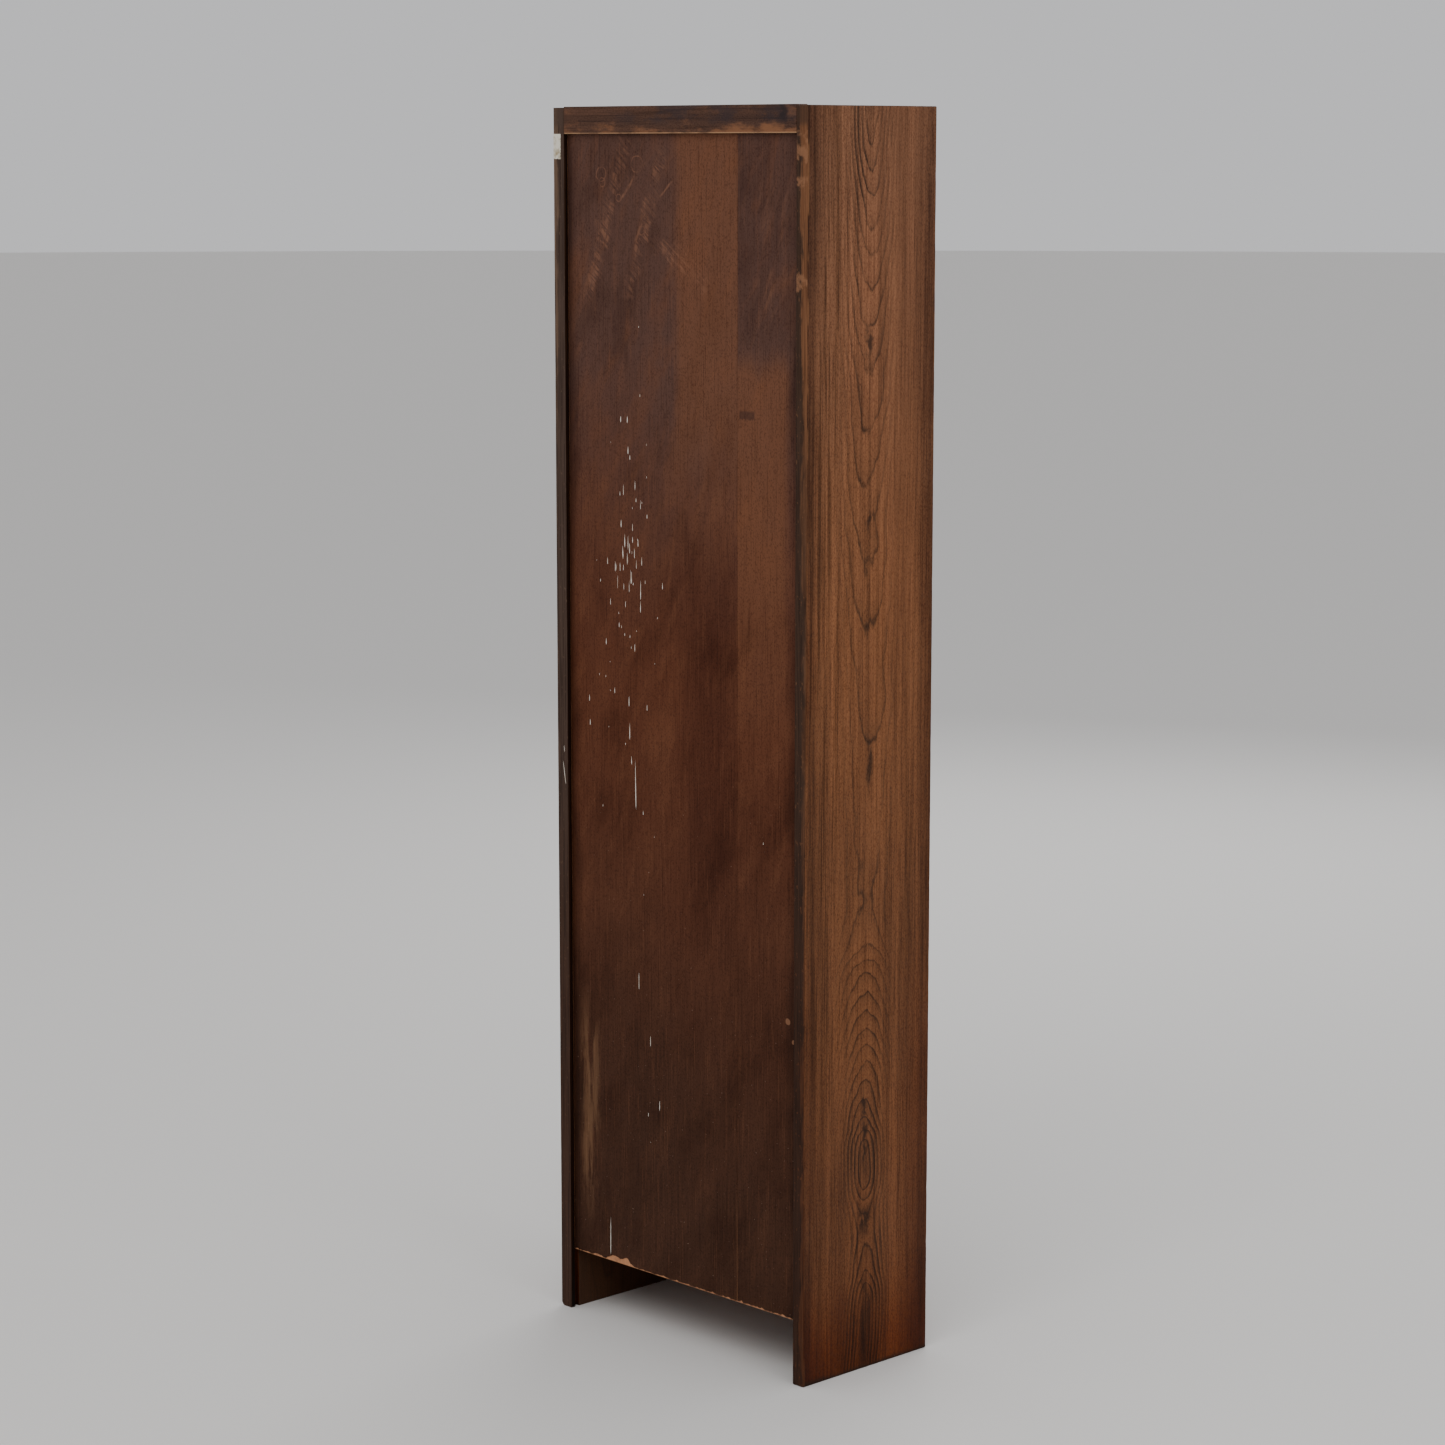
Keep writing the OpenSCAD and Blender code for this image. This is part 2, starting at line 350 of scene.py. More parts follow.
@dataclass(frozen=True)
class Oak:
    """Oiled oak: annual rings about a heart line, pores, and soft changes of tone."""

    name: str
    light: Colour
    deep: Colour
    ring: Colour
    grain: Grain
    shift: float = 0.0
    ring_step: float = 5.0 * MM
    heart: float = 0.0
    heart_wander: float = 14.0 * MM
    heart_deep: float = 80.0 * MM
    heart_line: tuple[Pair, ...] = ((0.0, 0.55), (0.3, 0.8), (0.6, 0.6), (1.0, 0.9))
    run: float = 1.4
    start: float = 0.0
    ring_strength: float = 0.55
    rough: float = 0.5
    least_slope: float = 0.2

    def figure(self, r: Recipe, along: float, across: float, shift: float, detail: float,
               rough: float = 0.5) -> Socket:
        """Make noise that is drawn out along the grain.

        Args:
            r: The recipe to add to.
            along: Features per metre along the grain.
            across: Features per metre across it, both ways.
            shift: Moves the pattern, beyond the board's own shift.
            detail: How many finer layers it has.
            rough: How strong the finer layers are.

        Returns:
            The noise's socket.
        """
        scale = tuple(along if axis == self.grain.value[0] else across for axis in "xyz")
        return r.cloud(scale, self.shift + shift, detail, rough)

    def rings(self, r: Recipe) -> Socket:
        """Draw the dark lines where the board's face cuts the annual rings.

        The heart line runs under the face at a depth that changes along the board, so the
        lines close into pointed arches wherever it dips or rises.

        Args:
            r: The recipe that the lines are added to.

        Returns:
            The lines' mask.
        """
        along, across, _ = (getattr(r, name) for name in self.grain.value)
        wander = self.figure(r, 6.0, 0.5, 3.0, 2.0)
        off = r.stray(r.take(across, self.heart), wander, self.heart_wander * 2)
        place = r.math("DIVIDE", r.take(along, self.start), self.run)
        under = r.times(r.curve(place, self.heart_line), self.heart_deep)
        under = r.stray(under, self.figure(r, 13.0, 12.0, 9.0, 2.0), 9 * MM)
        radius = r.hypot(off, under)
        radius = r.stray(radius, self.figure(r, 26.0, 120.0, 5.0, 3.0), 2.4 * MM)
        phase = r.math("FRACT", r.math("DIVIDE", radius, self.ring_step))
        # A line keeps its width on the face, however flat the ring is cut
        aside = r.unsigned(off)
        slope = r.math("MAXIMUM", r.math("DIVIDE", aside, radius), self.least_slope)
        gap = r.math("DIVIDE", r.times(r.take(1.0, phase), self.ring_step), slope)
        line = r.both(r.rise(gap, 6.0 * MM, 1.0 * MM), r.rise(phase, 1.0, 0.93))
        shade = r.times(r.rise(phase, 0.2, 1.0, 0.0, 0.3), r.rise(aside, 60 * MM, 20 * MM))
        patchy = r.rise(self.figure(r, 9.0, 34.0, 0.0, 2.0), 0.34, 0.54, 0.5)
        # The lines fade away from the heart, and where the arches' arms run out
        near = r.times(r.rise(aside, 50 * MM, 14 * MM, 0.25, 1.0),
                       r.rise(r.add(aside, r.times(under, 0.3)), 42 * MM, 26 * MM, 0.6, 1.0))
        heartwood = r.times(r.rise(radius, 15 * MM, 5 * MM), r.rise(patchy, 0.3, 1.0, 0.5, 0.9))
        return r.either(r.both(r.either(line, shade), patchy, near), heartwood)

    def wood(self, r: Recipe) -> Socket:
        """Colour the wood itself.

        Args:
            r: The recipe to colour.

        Returns:
            A height for the relief.
        """
        broad = self.figure(r, 2.2, 9.0, 0.0, 2.0)
        bands = self.figure(r, 1.6, 90.0, 1.0, 3.0, 0.6)
        depth = r.rise(r.add(r.times(broad, 0.5), r.times(bands, 0.6)), 0.42, 0.7)
        r.colour = r.blend(depth, self.light, self.deep)
        rings = self.rings(r)
        r.cover(r.times(rings, self.ring_strength), self.ring)
        streak = self.figure(r, 11.0, 520.0, 2.0, 3.0, 0.6)
        r.cover(r.rise(streak, 0.5, 0.68, 0.0, 0.42), self.deep, "MULTIPLY")
        r.cover(r.rise(streak, 0.47, 0.3, 0.0, 0.3), self.light)
        grit = self.figure(r, 420.0, 900.0, 8.0, 2.0)
        r.stain(r.rise(grit, 0.42, 0.72, 0.0, 0.65), 162, 136, 120)
        pores = self.figure(r, 110.0, 2600.0, 4.0, 1.0)
        open_pores = r.times(r.rise(pores, 0.58, 0.7), r.rise(rings, 0.0, 0.5, 0.5, 1.0))
        r.cover(r.times(open_pores, 0.75), self.ring)
        return r.take(1.0, r.add(r.times(open_pores, 0.8), r.times(rings, 0.2)))

    def make(self) -> bpy.types.Material:
        """Make the plain finish, with no wear of its own.

        Returns:
            The material.
        """
        r = Recipe(self.name)
        r.relief(self.wood(r), 0.12 * MM, 0.6)
        dull = r.rise(r.cloud((25.0, 25.0, 25.0), self.shift), 0.3, 0.7, self.rough - 0.08, self.rough + 0.1)
        return r.finish(dull, Specular_IOR_Level=0.22)


@dataclass(frozen=True)
class SideOak(Oak):
    """A side board's oak, with dark rear edge, worn arrises, a darker foot and a painted contact shadow along
    the floor.

    The board's spots give their two heights in metres and half their width in millimetres, and
    its bare patches the two heights between which the rear edge is chipped.
    """

    y_rear: float = 0.0
    y_front: float = 0.0
    x_outer: float = 0.0
    x_inner: float = 0.0
    top: float = 1.396
    edge_dark: Colour = tone(64, 45, 34)
    edge_worn: Colour = tone(118, 78, 52)
    worn_share: float = 0.5
    spots: tuple[Triple, ...] = ()
    bare_patches: tuple[Pair, ...] = ()

    def from_rear(self, r: Recipe, start: float, end: float) -> Socket:
        """Step between two distances, in millimetres, from the rear edge."""
        return r.rise(r.y, self.y_rear - start * MM, self.y_rear - end * MM)

    def from_front(self, r: Recipe, start: float, end: float) -> Socket:
        """Step between two distances, in millimetres, from the front edge."""
        return r.rise(r.y, self.y_front + start * MM, self.y_front + end * MM)

    def resin(self, r: Recipe) -> None:
        """Lay dark spots along the heart line, where the arches close.

        Args:
            r: The recipe to colour.
        """
        sway = r.cloud((30.0, 30.0, 26.0), self.shift + 14.0, 3.0, 0.6)
        beside = r.unsigned(r.stray(r.take(r.y, self.heart), sway, 34 * MM))
        ragged = r.rise(r.cloud((60.0, 120.0, 50.0), self.shift + 15.0, 4.0, 0.6), 0.36, 0.52)
        for low, high, half in self.spots:
            across = r.rise(beside, half * MM, half * 0.35 * MM)
            r.tint(r.times(r.both(across, r.band(r.z, low, high, 0.012), ragged), 0.85), 42, 29, 21)

    def handling(self, r: Recipe, soil: Socket) -> None:
        """Wax the middle of the face lighter, and leave its upper rear and its borders dull.

        Args:
            r: The recipe to colour.
            soil: The board's pattern of dirt.
        """
        front = r.band(r.y, self.y_front + 22 * MM, self.heart - 6 * MM, 14 * MM)
        r.tint(r.times(r.both(front, r.rise(r.z, 0.6, 1.0)), 0.12), 158, 100, 64)
        middle = r.band(r.y, self.y_front + 30 * MM, self.y_rear - 30 * MM, 14 * MM)
        r.cover(r.both(middle, r.band(r.z, 0.55, 1.36, 0.12)), tone(74, 69, 65), "DODGE")
        centre = r.band(r.y, self.y_rear - 112 * MM, self.y_rear - 56 * MM, 16 * MM)
        r.cover(r.both(centre, r.band(r.z, 1.04, 1.32, 0.12)), tone(104, 94, 88), "DODGE")
        dull = r.both(self.from_rear(r, 40, 22), r.rise(r.z, 1.12, 1.3))
        r.stain(r.times(dull, 0.6), 204, 200, 200)
        borders = r.either(self.from_front(r, 38, 4), self.from_rear(r, 30, 2))
        r.stain(r.times(r.times(borders, r.rise(soil, 0.3, 0.6, 0.4)), 0.6), 150, 128, 116)
        r.cover(r.rise(r.z, 0.75, 1.35, 0.0, 0.07), tone(128, 128, 128), "SATURATION")

    def darken_low_with_contact_shadow(self, r: Recipe, soil: Socket, outside: Socket) -> None:
        """Darken the board towards the floor, down to a black line of painted contact shadow where it meets
        the floor.

        Args:
            r: The recipe to colour.
            soil: The board's pattern of dirt.
            outside: The mask of the face that looks away from the case.
        """
        front = r.both(outside, self.from_front(r, 70, 10), r.rise(r.z, 0.6, 0.28))
        r.stain(r.times(front, 0.75), 206, 186, 172)
        foot = r.times(r.rise(r.stray(r.z, soil, 0.1), 0.15, 0.015), outside)
        r.stain(r.times(foot, 0.85), 212, 158, 70)
        corner = r.rise(r.add(r.z, r.times(r.take(self.y_rear, r.y), 2.2)), 0.13, 0.02)
        r.stain(r.both(corner, outside, 0.7), 160, 128, 104)
        # A thin black line of painted contact shadow where the board meets the floor
        contact_shadow = r.rise(r.stray(r.z, soil, 0.012), 0.007, 0.001)
        r.tint(r.both(contact_shadow, outside, 0.8), 36, 23, 14)

    def streaks(self, r: Recipe) -> None:
        """Draw olive and brown streaks, strongest over the straight grain of the rear half.

        Args:
            r: The recipe to colour.
        """
        straight = r.times(self.from_rear(r, 62, 40), r.rise(r.z, 0.2, 0.6, 0.45, 1.0))
        straight = r.either(straight, r.times(r.band(r.z, 0.4, 1.34, 0.12), 0.38))
        lines = r.cloud((1.0, 210.0, 3.5), self.shift + 12.0, 4.0, 0.65)
        r.stain(r.times(straight, r.rise(lines, 0.44, 0.62, 0.0, 0.7)), 146, 136, 116)

    def paint_inner_shade(self, r: Recipe, within: Socket) -> None:
        """Paint shade low on the inner face, between the feet, and on the strip where the panel is set in.

        Args:
            r: The recipe to colour.
            within: The mask of the face that looks into the case.
        """
        # Painted shade: the inner face below the bottom shelf, and the strip between the rear edge and the
        # set-in panel
        r.tint(r.times(r.times(within, r.rise(r.z, 0.1, 0.07)), 0.75), 54, 40, 31)
        r.stain(r.times(r.both(within, self.from_rear(r, 9, 6)), 0.9), 62, 48, 42)

    def rear_edge(self, r: Recipe) -> None:
        """Colour the rear edge: soiled, worn and chipped, with stain that strays over the arris.

        Args:
            r: The recipe to colour.
        """
        face = r.colour
        stray = r.cloud((60.0, 260.0, 14.0), self.shift + 6.0, 3.0, 0.6)
        rear = r.rise(r.stray(r.y, stray, 1.2 * MM), self.y_rear - 0.9 * MM, self.y_rear - 0.2 * MM)
        patch = r.cloud((90.0, 40.0, 16.0), self.shift + 7.0, 4.0, 0.65)
        outward = r.rise(r.x, self.x_inner, self.x_outer)
        aloft = r.rise(r.z, 0.9, 1.25, -0.06, 0.09)
        worn = r.rise(r.add(r.stray(patch, outward, 0.42), aloft),
                      0.66 - 0.3 * self.worn_share, 0.82 - 0.3 * self.worn_share)
        fibres = r.cloud((700.0, 700.0, 12.0), self.shift + 8.0, 2.0)
        worn = r.times(worn, r.rise(r.z, 0.95, 1.15, 0.45, 1.0))
        r.colour = r.blend(worn, self.edge_dark, self.edge_worn)
        r.stain(r.rise(fibres, 0.4, 0.65, 0.0, 0.6), 146, 132, 124)
        chips = r.cloud((330.0, 330.0, 150.0), self.shift + 13.0, 3.0, 0.6)
        r.cover(r.rise(chips, 0.6, 0.7, 0.0, 0.5), self.edge_worn)
        r.stain(r.rise(r.z, 0.8, 0.35), 228, 204, 188)
        flaked = r.cloud((120.0, 60.0, 90.0), self.shift + 16.0, 4.0, 0.6)
        for low, high in self.bare_patches:
            bare = r.times(r.band(r.stray(r.z, flaked, 0.02), low, high, 0.002), r.rise(flaked, 0.4, 0.56))
            r.tint(r.times(bare, 0.7), 140, 97, 69)
        r.cover(r.rise(r.z, self.top - 0.024, self.top - 0.016, 0.0, 0.7), self.edge_dark)
        r.colour = r.blend(rear, face, r.colour)

    def rub(self, r: Recipe, within: Socket) -> None:
        """Wear the arrises back to lighter wood, and darken the end grain.

        Args:
            r: The recipe to colour.
            within: The mask of the face that looks into the case.
        """
        arris = r.either(r.band(r.y, self.y_rear - 2.6 * MM, self.y_rear - 0.7 * MM, 0.5 * MM),
                         r.band(r.y, self.y_front + 0.4 * MM, self.y_front + 2.2 * MM, 0.6 * MM))
        rubbed = r.both(arris, r.rise(r.cloud((30.0, 90.0, 26.0), self.shift), 0.44, 0.6),
                        r.rise(r.z, 0.95, 1.15, 0.25, 1.0), r.take(1.0, r.times(within, 0.9)))
        r.tint(r.times(rubbed, 0.6), 136, 92, 60)
        ends = r.either(r.rise(r.z, 1.2 * MM, 0.2 * MM),
                        r.rise(r.z, self.top - 1.2 * MM, self.top - 0.2 * MM))
        r.tint(r.times(ends, 0.6), 60, 44, 34)

    def make(self) -> bpy.types.Material:
        """Make the finish of one side board.

        Returns:
            The material.
        """
        r = Recipe(self.name)
        height = self.wood(r)
        soil = r.cloud((18.0, 18.0, 7.0), self.shift, 4.0, 0.6)
        self.resin(r)
        self.handling(r, soil)
        low = r.rise(r.add(r.z, r.times(soil, 0.1)), 0.75, 0.08)
        r.stain(r.times(low, 0.4), 196, 172, 150)
        inner = abs(self.x_inner)
        within = r.rise(r.unsigned(r.x), inner + 0.5 * MM, inner + 0.2 * MM)
        self.darken_low_with_contact_shadow(r, soil, r.take(1.0, within))
        self.streaks(r)
        self.paint_inner_shade(r, within)
        self.rear_edge(r)
        self.rub(r, within)
        r.relief(height, 0.15 * MM, 0.7)
        dull = r.rise(soil, 0.3, 0.7, self.rough - 0.06, self.rough + 0.14)
        return r.finish(dull, Specular_IOR_Level=0.1)


@dataclass(frozen=True)
class StainedVeneer:
    """The back's old veneer: two leaves, tide marks, pale scuffs and a dark lower half."""

    name: str = "stained_veneer"
    seam: float = -90 * MM
    half: float = 184.5 * MM
    upper: Colour = tone(87, 61, 52)
    middle: Colour = tone(91, 51, 33)
    lower: Colour = tone(64, 39, 26)
    light: Colour = tone(120, 76, 51)
    hair: float = 0.2 * MM

    def stroke(self, r: Recipe, start: Pair, end: Pair, half: float) -> Socket:
        """Mask one feathery rub mark between two places on the panel.

        Args:
            r: The recipe to add to.
            start: Its start, across and up, in millimetres.
            end: Its end.
            half: Half its width, in millimetres.

        Returns:
            The mark's mask.
        """
        run, climb = (end[0] - start[0]) * MM, (end[1] - start[1]) * MM
        long = math.hypot(run, climb)
        from_x, from_z = r.take(r.x, start[0] * MM), r.take(r.z, start[1] * MM)
        along = r.add(r.times(from_x, run / long), r.times(from_z, climb / long))
        across = r.take(r.times(from_x, climb / long), r.times(from_z, run / long))
        across = r.stray(across, r.cloud((55.0, 1.0, 55.0), half, 2.0), half * 2.4 * MM)
        return r.times(r.band(along, 0.0, long, long * 0.12), r.rise(r.unsigned(across), half * MM, 0.0))

    def reach(self, r: Recipe, centre: Pair) -> Socket:
        """Measure, raggedly, how far each place on the panel lies from a centre.

        Args:
            r: The recipe to add to.
            centre: The centre, across and up, in millimetres.

        Returns:
            The distance, in metres.
        """
        from_x, from_z = r.take(r.x, centre[0] * MM), r.take(r.z, centre[1] * MM)
        ragged = r.cloud((110.0, 1.0, 110.0), centre[0])
        return r.stray(r.hypot(from_x, from_z), ragged, 5 * MM)

    def nick(self, r: Recipe, centre: Pair, radius: float) -> Socket:
        """Mask one small ragged chip, by its centre and its radius in millimetres."""
        return r.rise(self.reach(r, centre), radius * MM, radius * 0.7 * MM)

    def curl(self, r: Recipe, centre: Pair, radius: float) -> Socket:
        """Mask one thin, curling scratch, by its centre and its radius in millimetres."""
        return r.band(self.reach(r, centre), (radius - 0.5) * MM, (radius + 0.5) * MM, 0.5 * MM)

    def scuffs(self, r: Recipe) -> Socket:
        """Mask the feathery pale rub marks and curls high on the back.

        Args:
            r: The recipe to add to.

        Returns:
            The marks' mask.
        """
        barbs = r.cloud((36.0, 1.0, 300.0), 5.0, 3.0, 0.6, 0.5, turn=38.0)
        smears = r.cloud((120.0, 1.0, 24.0), 2.0, 4.0, 0.6, turn=22.0)
        rubs = (((88, 1358), (122, 1275), 17), ((116, 1292), (150, 1180), 14), ((28, 1345), (84, 1196), 12),
                ((44, 1252), (-42, 1206), 15))
        scrapes = (((12, 1316), (60, 1275), 2.4), ((60, 1335), (96, 1296), 3.2),
                   ((60, 1270), (74, 1250), 3.2))
        rings = (((129, 1323), 8.0), ((70, 1334), 9.0), ((100, 1297), 4.0), ((127, 1314), 5.0),
                 ((62, 1262), 5.0))
        wide = r.either(*[self.stroke(r, *rub) for rub in rubs])
        fine = r.either(*[self.stroke(r, *scrape) for scrape in scrapes])
        curls = r.either(*[self.curl(r, *ring) for ring in rings])
        feather = r.times(r.rise(barbs, 0.42, 0.6), r.rise(smears, 0.4, 0.6, 0.3))
        right = r.both(r.band(r.x, -178 * MM, -118 * MM, 14 * MM), r.band(r.z, 1.13, 1.34, 0.05))
        return r.either(r.times(feather, wide), r.times(fine, r.rise(smears, 0.36, 0.6)),
                        r.times(curls, r.rise(smears, 0.4, 0.5, 0.25, 0.8)),
                        r.both(right, r.rise(smears, 0.48, 0.7), 0.3))

    def tones(self, r: Recipe) -> Socket:
        """Colour the sheet from its dark foot to its greyer top, with clouds and flames.

        Args:
            r: The recipe to colour.

        Returns:
            The pattern of the clouds.
        """
        aloft = r.stray(r.z, r.cloud((7.0, 1.0, 3.0), 1.0, 3.0, 0.55, 0.3), 0.35)
        r.colour = r.blend(r.rise(aloft, 0.12, 0.78), self.lower, self.middle)
        r.cover(r.rise(aloft, 0.72, 1.16), self.upper)
        cloudy = r.cloud((15.0, 1.0, 8.0), 4.0, 4.0, 0.6, turn=24.0)
        r.stain(r.rise(cloudy, 0.48, 0.7, 0.0, 0.36), 140, 112, 104)
        flame = r.rise(r.cloud((44.0, 1.0, 11.0), 14.0, 4.0, 0.6, 0.6, turn=24.0), 0.46, 0.76, 0.0, 0.3)
        r.cover(r.times(flame, r.rise(r.z, 0.35, 0.75, 0.3, 1.0)), self.light)
        pale = r.times(r.rise(cloudy, 0.48, 0.3, 0.0, 0.3), r.rise(r.z, 0.3, 0.7, 0.3, 1.0))
        r.tint(pale, 112, 68, 44)
        return cloudy

    def leaves(self, r: Recipe) -> None:
        """Tell the two leaves apart: a faded band beside the seam, and the leaf beyond it.

        Args:
            r: The recipe to colour.
        """
        edge = r.cloud((22.0, 1.0, 5.0), 7.0)
        left_side = r.rise(r.stray(r.x, edge, 34 * MM), 22 * MM, -6 * MM)
        band = r.both(left_side, r.rise(r.x, self.seam - self.hair, self.seam + self.hair),
                      r.rise(r.add(r.z, r.times(edge, 0.22)), 0.98, 1.2))
        r.cover(r.times(band, 0.5), self.light)
        beyond = r.rise(r.x, self.seam + self.hair, self.seam - self.hair)
        shaded = r.both(r.band(r.stray(r.x, edge, 60 * MM), self.seam, -12 * MM, 22 * MM),
                        r.rise(r.x, self.seam - self.hair, self.seam + self.hair),
                        r.band(r.z, 0.5, 0.9, 0.07))
        r.stain(r.times(shaded, 0.5), 178, 160, 158)
        faded = r.both(beyond, r.rise(r.add(r.z, r.times(edge, 0.09)), 1.19, 1.15), r.rise(r.z, 0.62, 0.98),
                       r.rise(r.stray(r.x, edge, 20 * MM), -176 * MM, -160 * MM))
        r.cover(r.times(faded, 0.55), self.light)
        dusky = r.both(beyond, r.rise(r.add(r.z, r.times(edge, 0.09)), 1.17, 1.21),
                       r.rise(r.cloud((34.0, 1.0, 6.0), 8.0, turn=16.0), 0.64, 0.46, 0.35))
        r.stain(r.times(dusky, 0.2), 158, 140, 156)

    def marks(self, r: Recipe, fibres: Socket, mottle: Socket) -> None:
        """Add scuffs, a rubbed patch, painted shade along both sides, pale dust low down, a stain, and chips
        that show bare wood.

        Args:
            r: The recipe to colour.
            fibres: The pattern of the fibres.
            mottle: The pattern of the pores.
        """
        r.tint(r.times(self.scuffs(r), 0.4), 156, 108, 82)
        rub = r.cloud((64.0, 1.0, 8.0), 6.0, 8.0, 0.72)
        low_rub = r.both(r.band(r.x, 140 * MM, 172 * MM, 12 * MM), r.band(r.z, 0.14, 0.36, 0.05),
                         r.rise(rub, 0.46, 0.6))
        r.tint(r.times(r.times(low_rub, r.rise(fibres, 0.3, 0.6, 0.45, 1.0)), 0.5), 134, 98, 70)
        # Painted shade along both sides of the panel, where the side boards shade it; weaker near the top on
        # the -X side
        shade_fray = r.cloud((30.0, 1.0, 9.0), 15.0)
        aside = r.stray(r.unsigned(r.x), shade_fray, 30 * MM)
        spared = r.either(r.rise(r.x, -100 * MM, 0.0), r.rise(r.z, 1.25, 1.05, 0.35, 1.0))
        side_shade = r.times(r.rise(aside, self.half - 20 * MM, self.half), spared)
        r.stain(r.times(side_shade, 0.6), 120, 106, 104)
        spilt = r.both(r.band(r.x, self.seam - 26 * MM, self.seam - 3 * MM, 1.2 * MM),
                       r.band(r.stray(r.z, mottle, 0.006), 1.062, 1.071, 1.2 * MM))
        r.tint(r.times(spilt, 0.62), 62, 42, 36)
        open_seam = r.both(r.band(r.x, self.seam - 0.5 * MM, self.seam + 0.5 * MM, 0.3 * MM),
                           r.rise(r.z, 0.21, 0.17))
        nicks = r.either(self.nick(r, (-170, 408), 4.0), self.nick(r, (-178, 386), 2.6))
        r.tint(r.either(r.times(open_seam, 0.5), r.times(nicks, 0.55)), 150, 106, 78)
        specks = r.cloud((420.0, 1.0, 380.0), 11.0, 1.0)
        dust = r.both(r.rise(specks, 0.76, 0.8), r.rise(r.z, 0.9, 0.2, 0.2, 1.0))
        r.tint(r.times(dust, 0.35), 170, 140, 120)

    def make(self) -> bpy.types.Material:
        """Make the finish of the face veneer.

        Returns:
            The material.
        """
        r = Recipe(self.name)
        cloudy = self.tones(r)
        self.leaves(r)
        fibres = r.cloud((560.0, 1.0, 14.0), 3.0, 3.0, 0.6)
        r.stain(r.rise(fibres, 0.5, 0.74, 0.0, 0.4), 130, 104, 94)
        r.cover(r.rise(fibres, 0.44, 0.3, 0.0, 0.22), self.light)
        mottle = r.cloud((620.0, 1.0, 480.0), 9.0)
        r.stain(r.rise(mottle, 0.45, 0.75, 0.0, 0.5), 138, 112, 100)
        self.marks(r, fibres, mottle)
        r.relief(r.add(r.times(fibres, 0.6), r.times(mottle, 0.4)), 0.1 * MM, 0.5)
        return r.finish(r.rise(cloudy, 0.3, 0.7, 0.55, 0.7), Specular_IOR_Level=0.08)


@dataclass(frozen=True)
class RailOak(Oak):
    """The top rail's dark oak: orange where its lower edge is rubbed, black where ink ran."""

    z_foot: float = 0.0
    blot_x: float = -163 * MM

    def above(self, r: Recipe, start: float, end: float) -> Socket:
        """Step between two heights above the rail's lower edge, in millimetres."""
        return r.rise(r.z, self.z_foot + start * MM, self.z_foot + end * MM)

    def make(self) -> bpy.types.Material:
        """Make the finish of the back rail.

        Returns:
            The material.
        """
        r = Recipe(self.name)
        height = self.wood(r)
        patch = r.cloud((26.0, 10.0, 70.0), 3.0, 4.0, 0.65)
        toward_left = r.rise(r.x, 0.02, -0.15, -0.05, 0.05)
        low = r.rise(r.z, self.z_foot + 17 * MM, self.z_foot + 1 * MM, 0.0, 0.22)
        rubbed = r.rise(r.add(r.add(patch, low), toward_left), 0.56, 0.84)
        r.tint(r.times(rubbed, 0.72), 138, 92, 62)
        black = r.cloud((24.0, 10.0, 60.0), 8.0, 4.0, 0.6)
        smoked = r.both(r.rise(black, 0.42, 0.6), self.above(r, 6, 16), r.band(r.x, -0.2, 0.09, 0.05))
        r.tint(r.times(smoked, 0.55), 46, 40, 44)
        beside = r.unsigned(r.stray(r.take(r.x, self.blot_x), black, 0.025))
        blot = r.both(r.rise(beside, 8 * MM, 1.5 * MM), self.above(r, 6, 20))
        r.tint(r.times(blot, 0.75), 34, 29, 32)
        # A painted highlight along the rail's lower edge, broken up by the patch noise
        lip_highlight = r.both(self.above(r, 1.6, 0.6), r.rise(patch, 0.3, 0.5, 0.35, 1.0))
        r.tint(r.times(lip_highlight, 0.75), 190, 148, 110)
        r.relief(height, 0.15 * MM, 0.7)
        return r.finish(0.58, Specular_IOR_Level=0.12)


@dataclass(frozen=True)
class BareWood:
    """The panel's core: dry and orange where the veneer has broken away, stained inside the case."""

    name: str = "bare_core"
    y_inner: float = 0.0

    def make(self) -> bpy.types.Material:
        """Make the finish.

        Returns:
            The material.
        """
        r = Recipe(self.name)
        fibres = r.cloud((460.0, 300.0, 14.0), 2.0, 4.0, 0.6)
        patch = r.cloud((60.0, 40.0, 60.0), 3.0)
        r.colour = r.blend(fibres, tone(158, 100, 66), tone(206, 150, 108))
        r.tint(r.rise(patch, 0.52, 0.66, 0.0, 0.6), 120, 78, 54)
        plain = r.cloud((30.0, 30.0, 2.4), 4.0, 4.0, 0.6)
        inner = r.blend(r.rise(plain, 0.35, 0.65), tone(92, 56, 36), tone(116, 74, 48))
        inner = r.blend(r.rise(fibres, 0.48, 0.7, 0.0, 0.6), inner, tone(66, 42, 30))
        r.cover(r.rise(r.y, self.y_inner + 0.8 * MM, self.y_inner + 0.4 * MM), inner)
        r.relief(fibres, 0.2 * MM, 0.8)
        return r.finish(0.75, Specular_IOR_Level=0.25)


@dataclass(frozen=True)
class DriedPaint:
    """Old white paint: slightly yellow and chalky."""

    name: str = "dried_paint"

    def make(self) -> bpy.types.Material:
        """Make the finish.

        Returns:
            The material.
        """
        r = Recipe(self.name)
        soil = r.cloud((260.0, 260.0, 120.0), 1.0)
        r.colour = r.blend(r.rise(soil, 0.4, 0.65), tone(236, 229, 217), tone(196, 180, 162))
        return r.finish(r.rise(soil, 0.3, 0.7, 0.4, 0.6), Specular_IOR_Level=0.4)


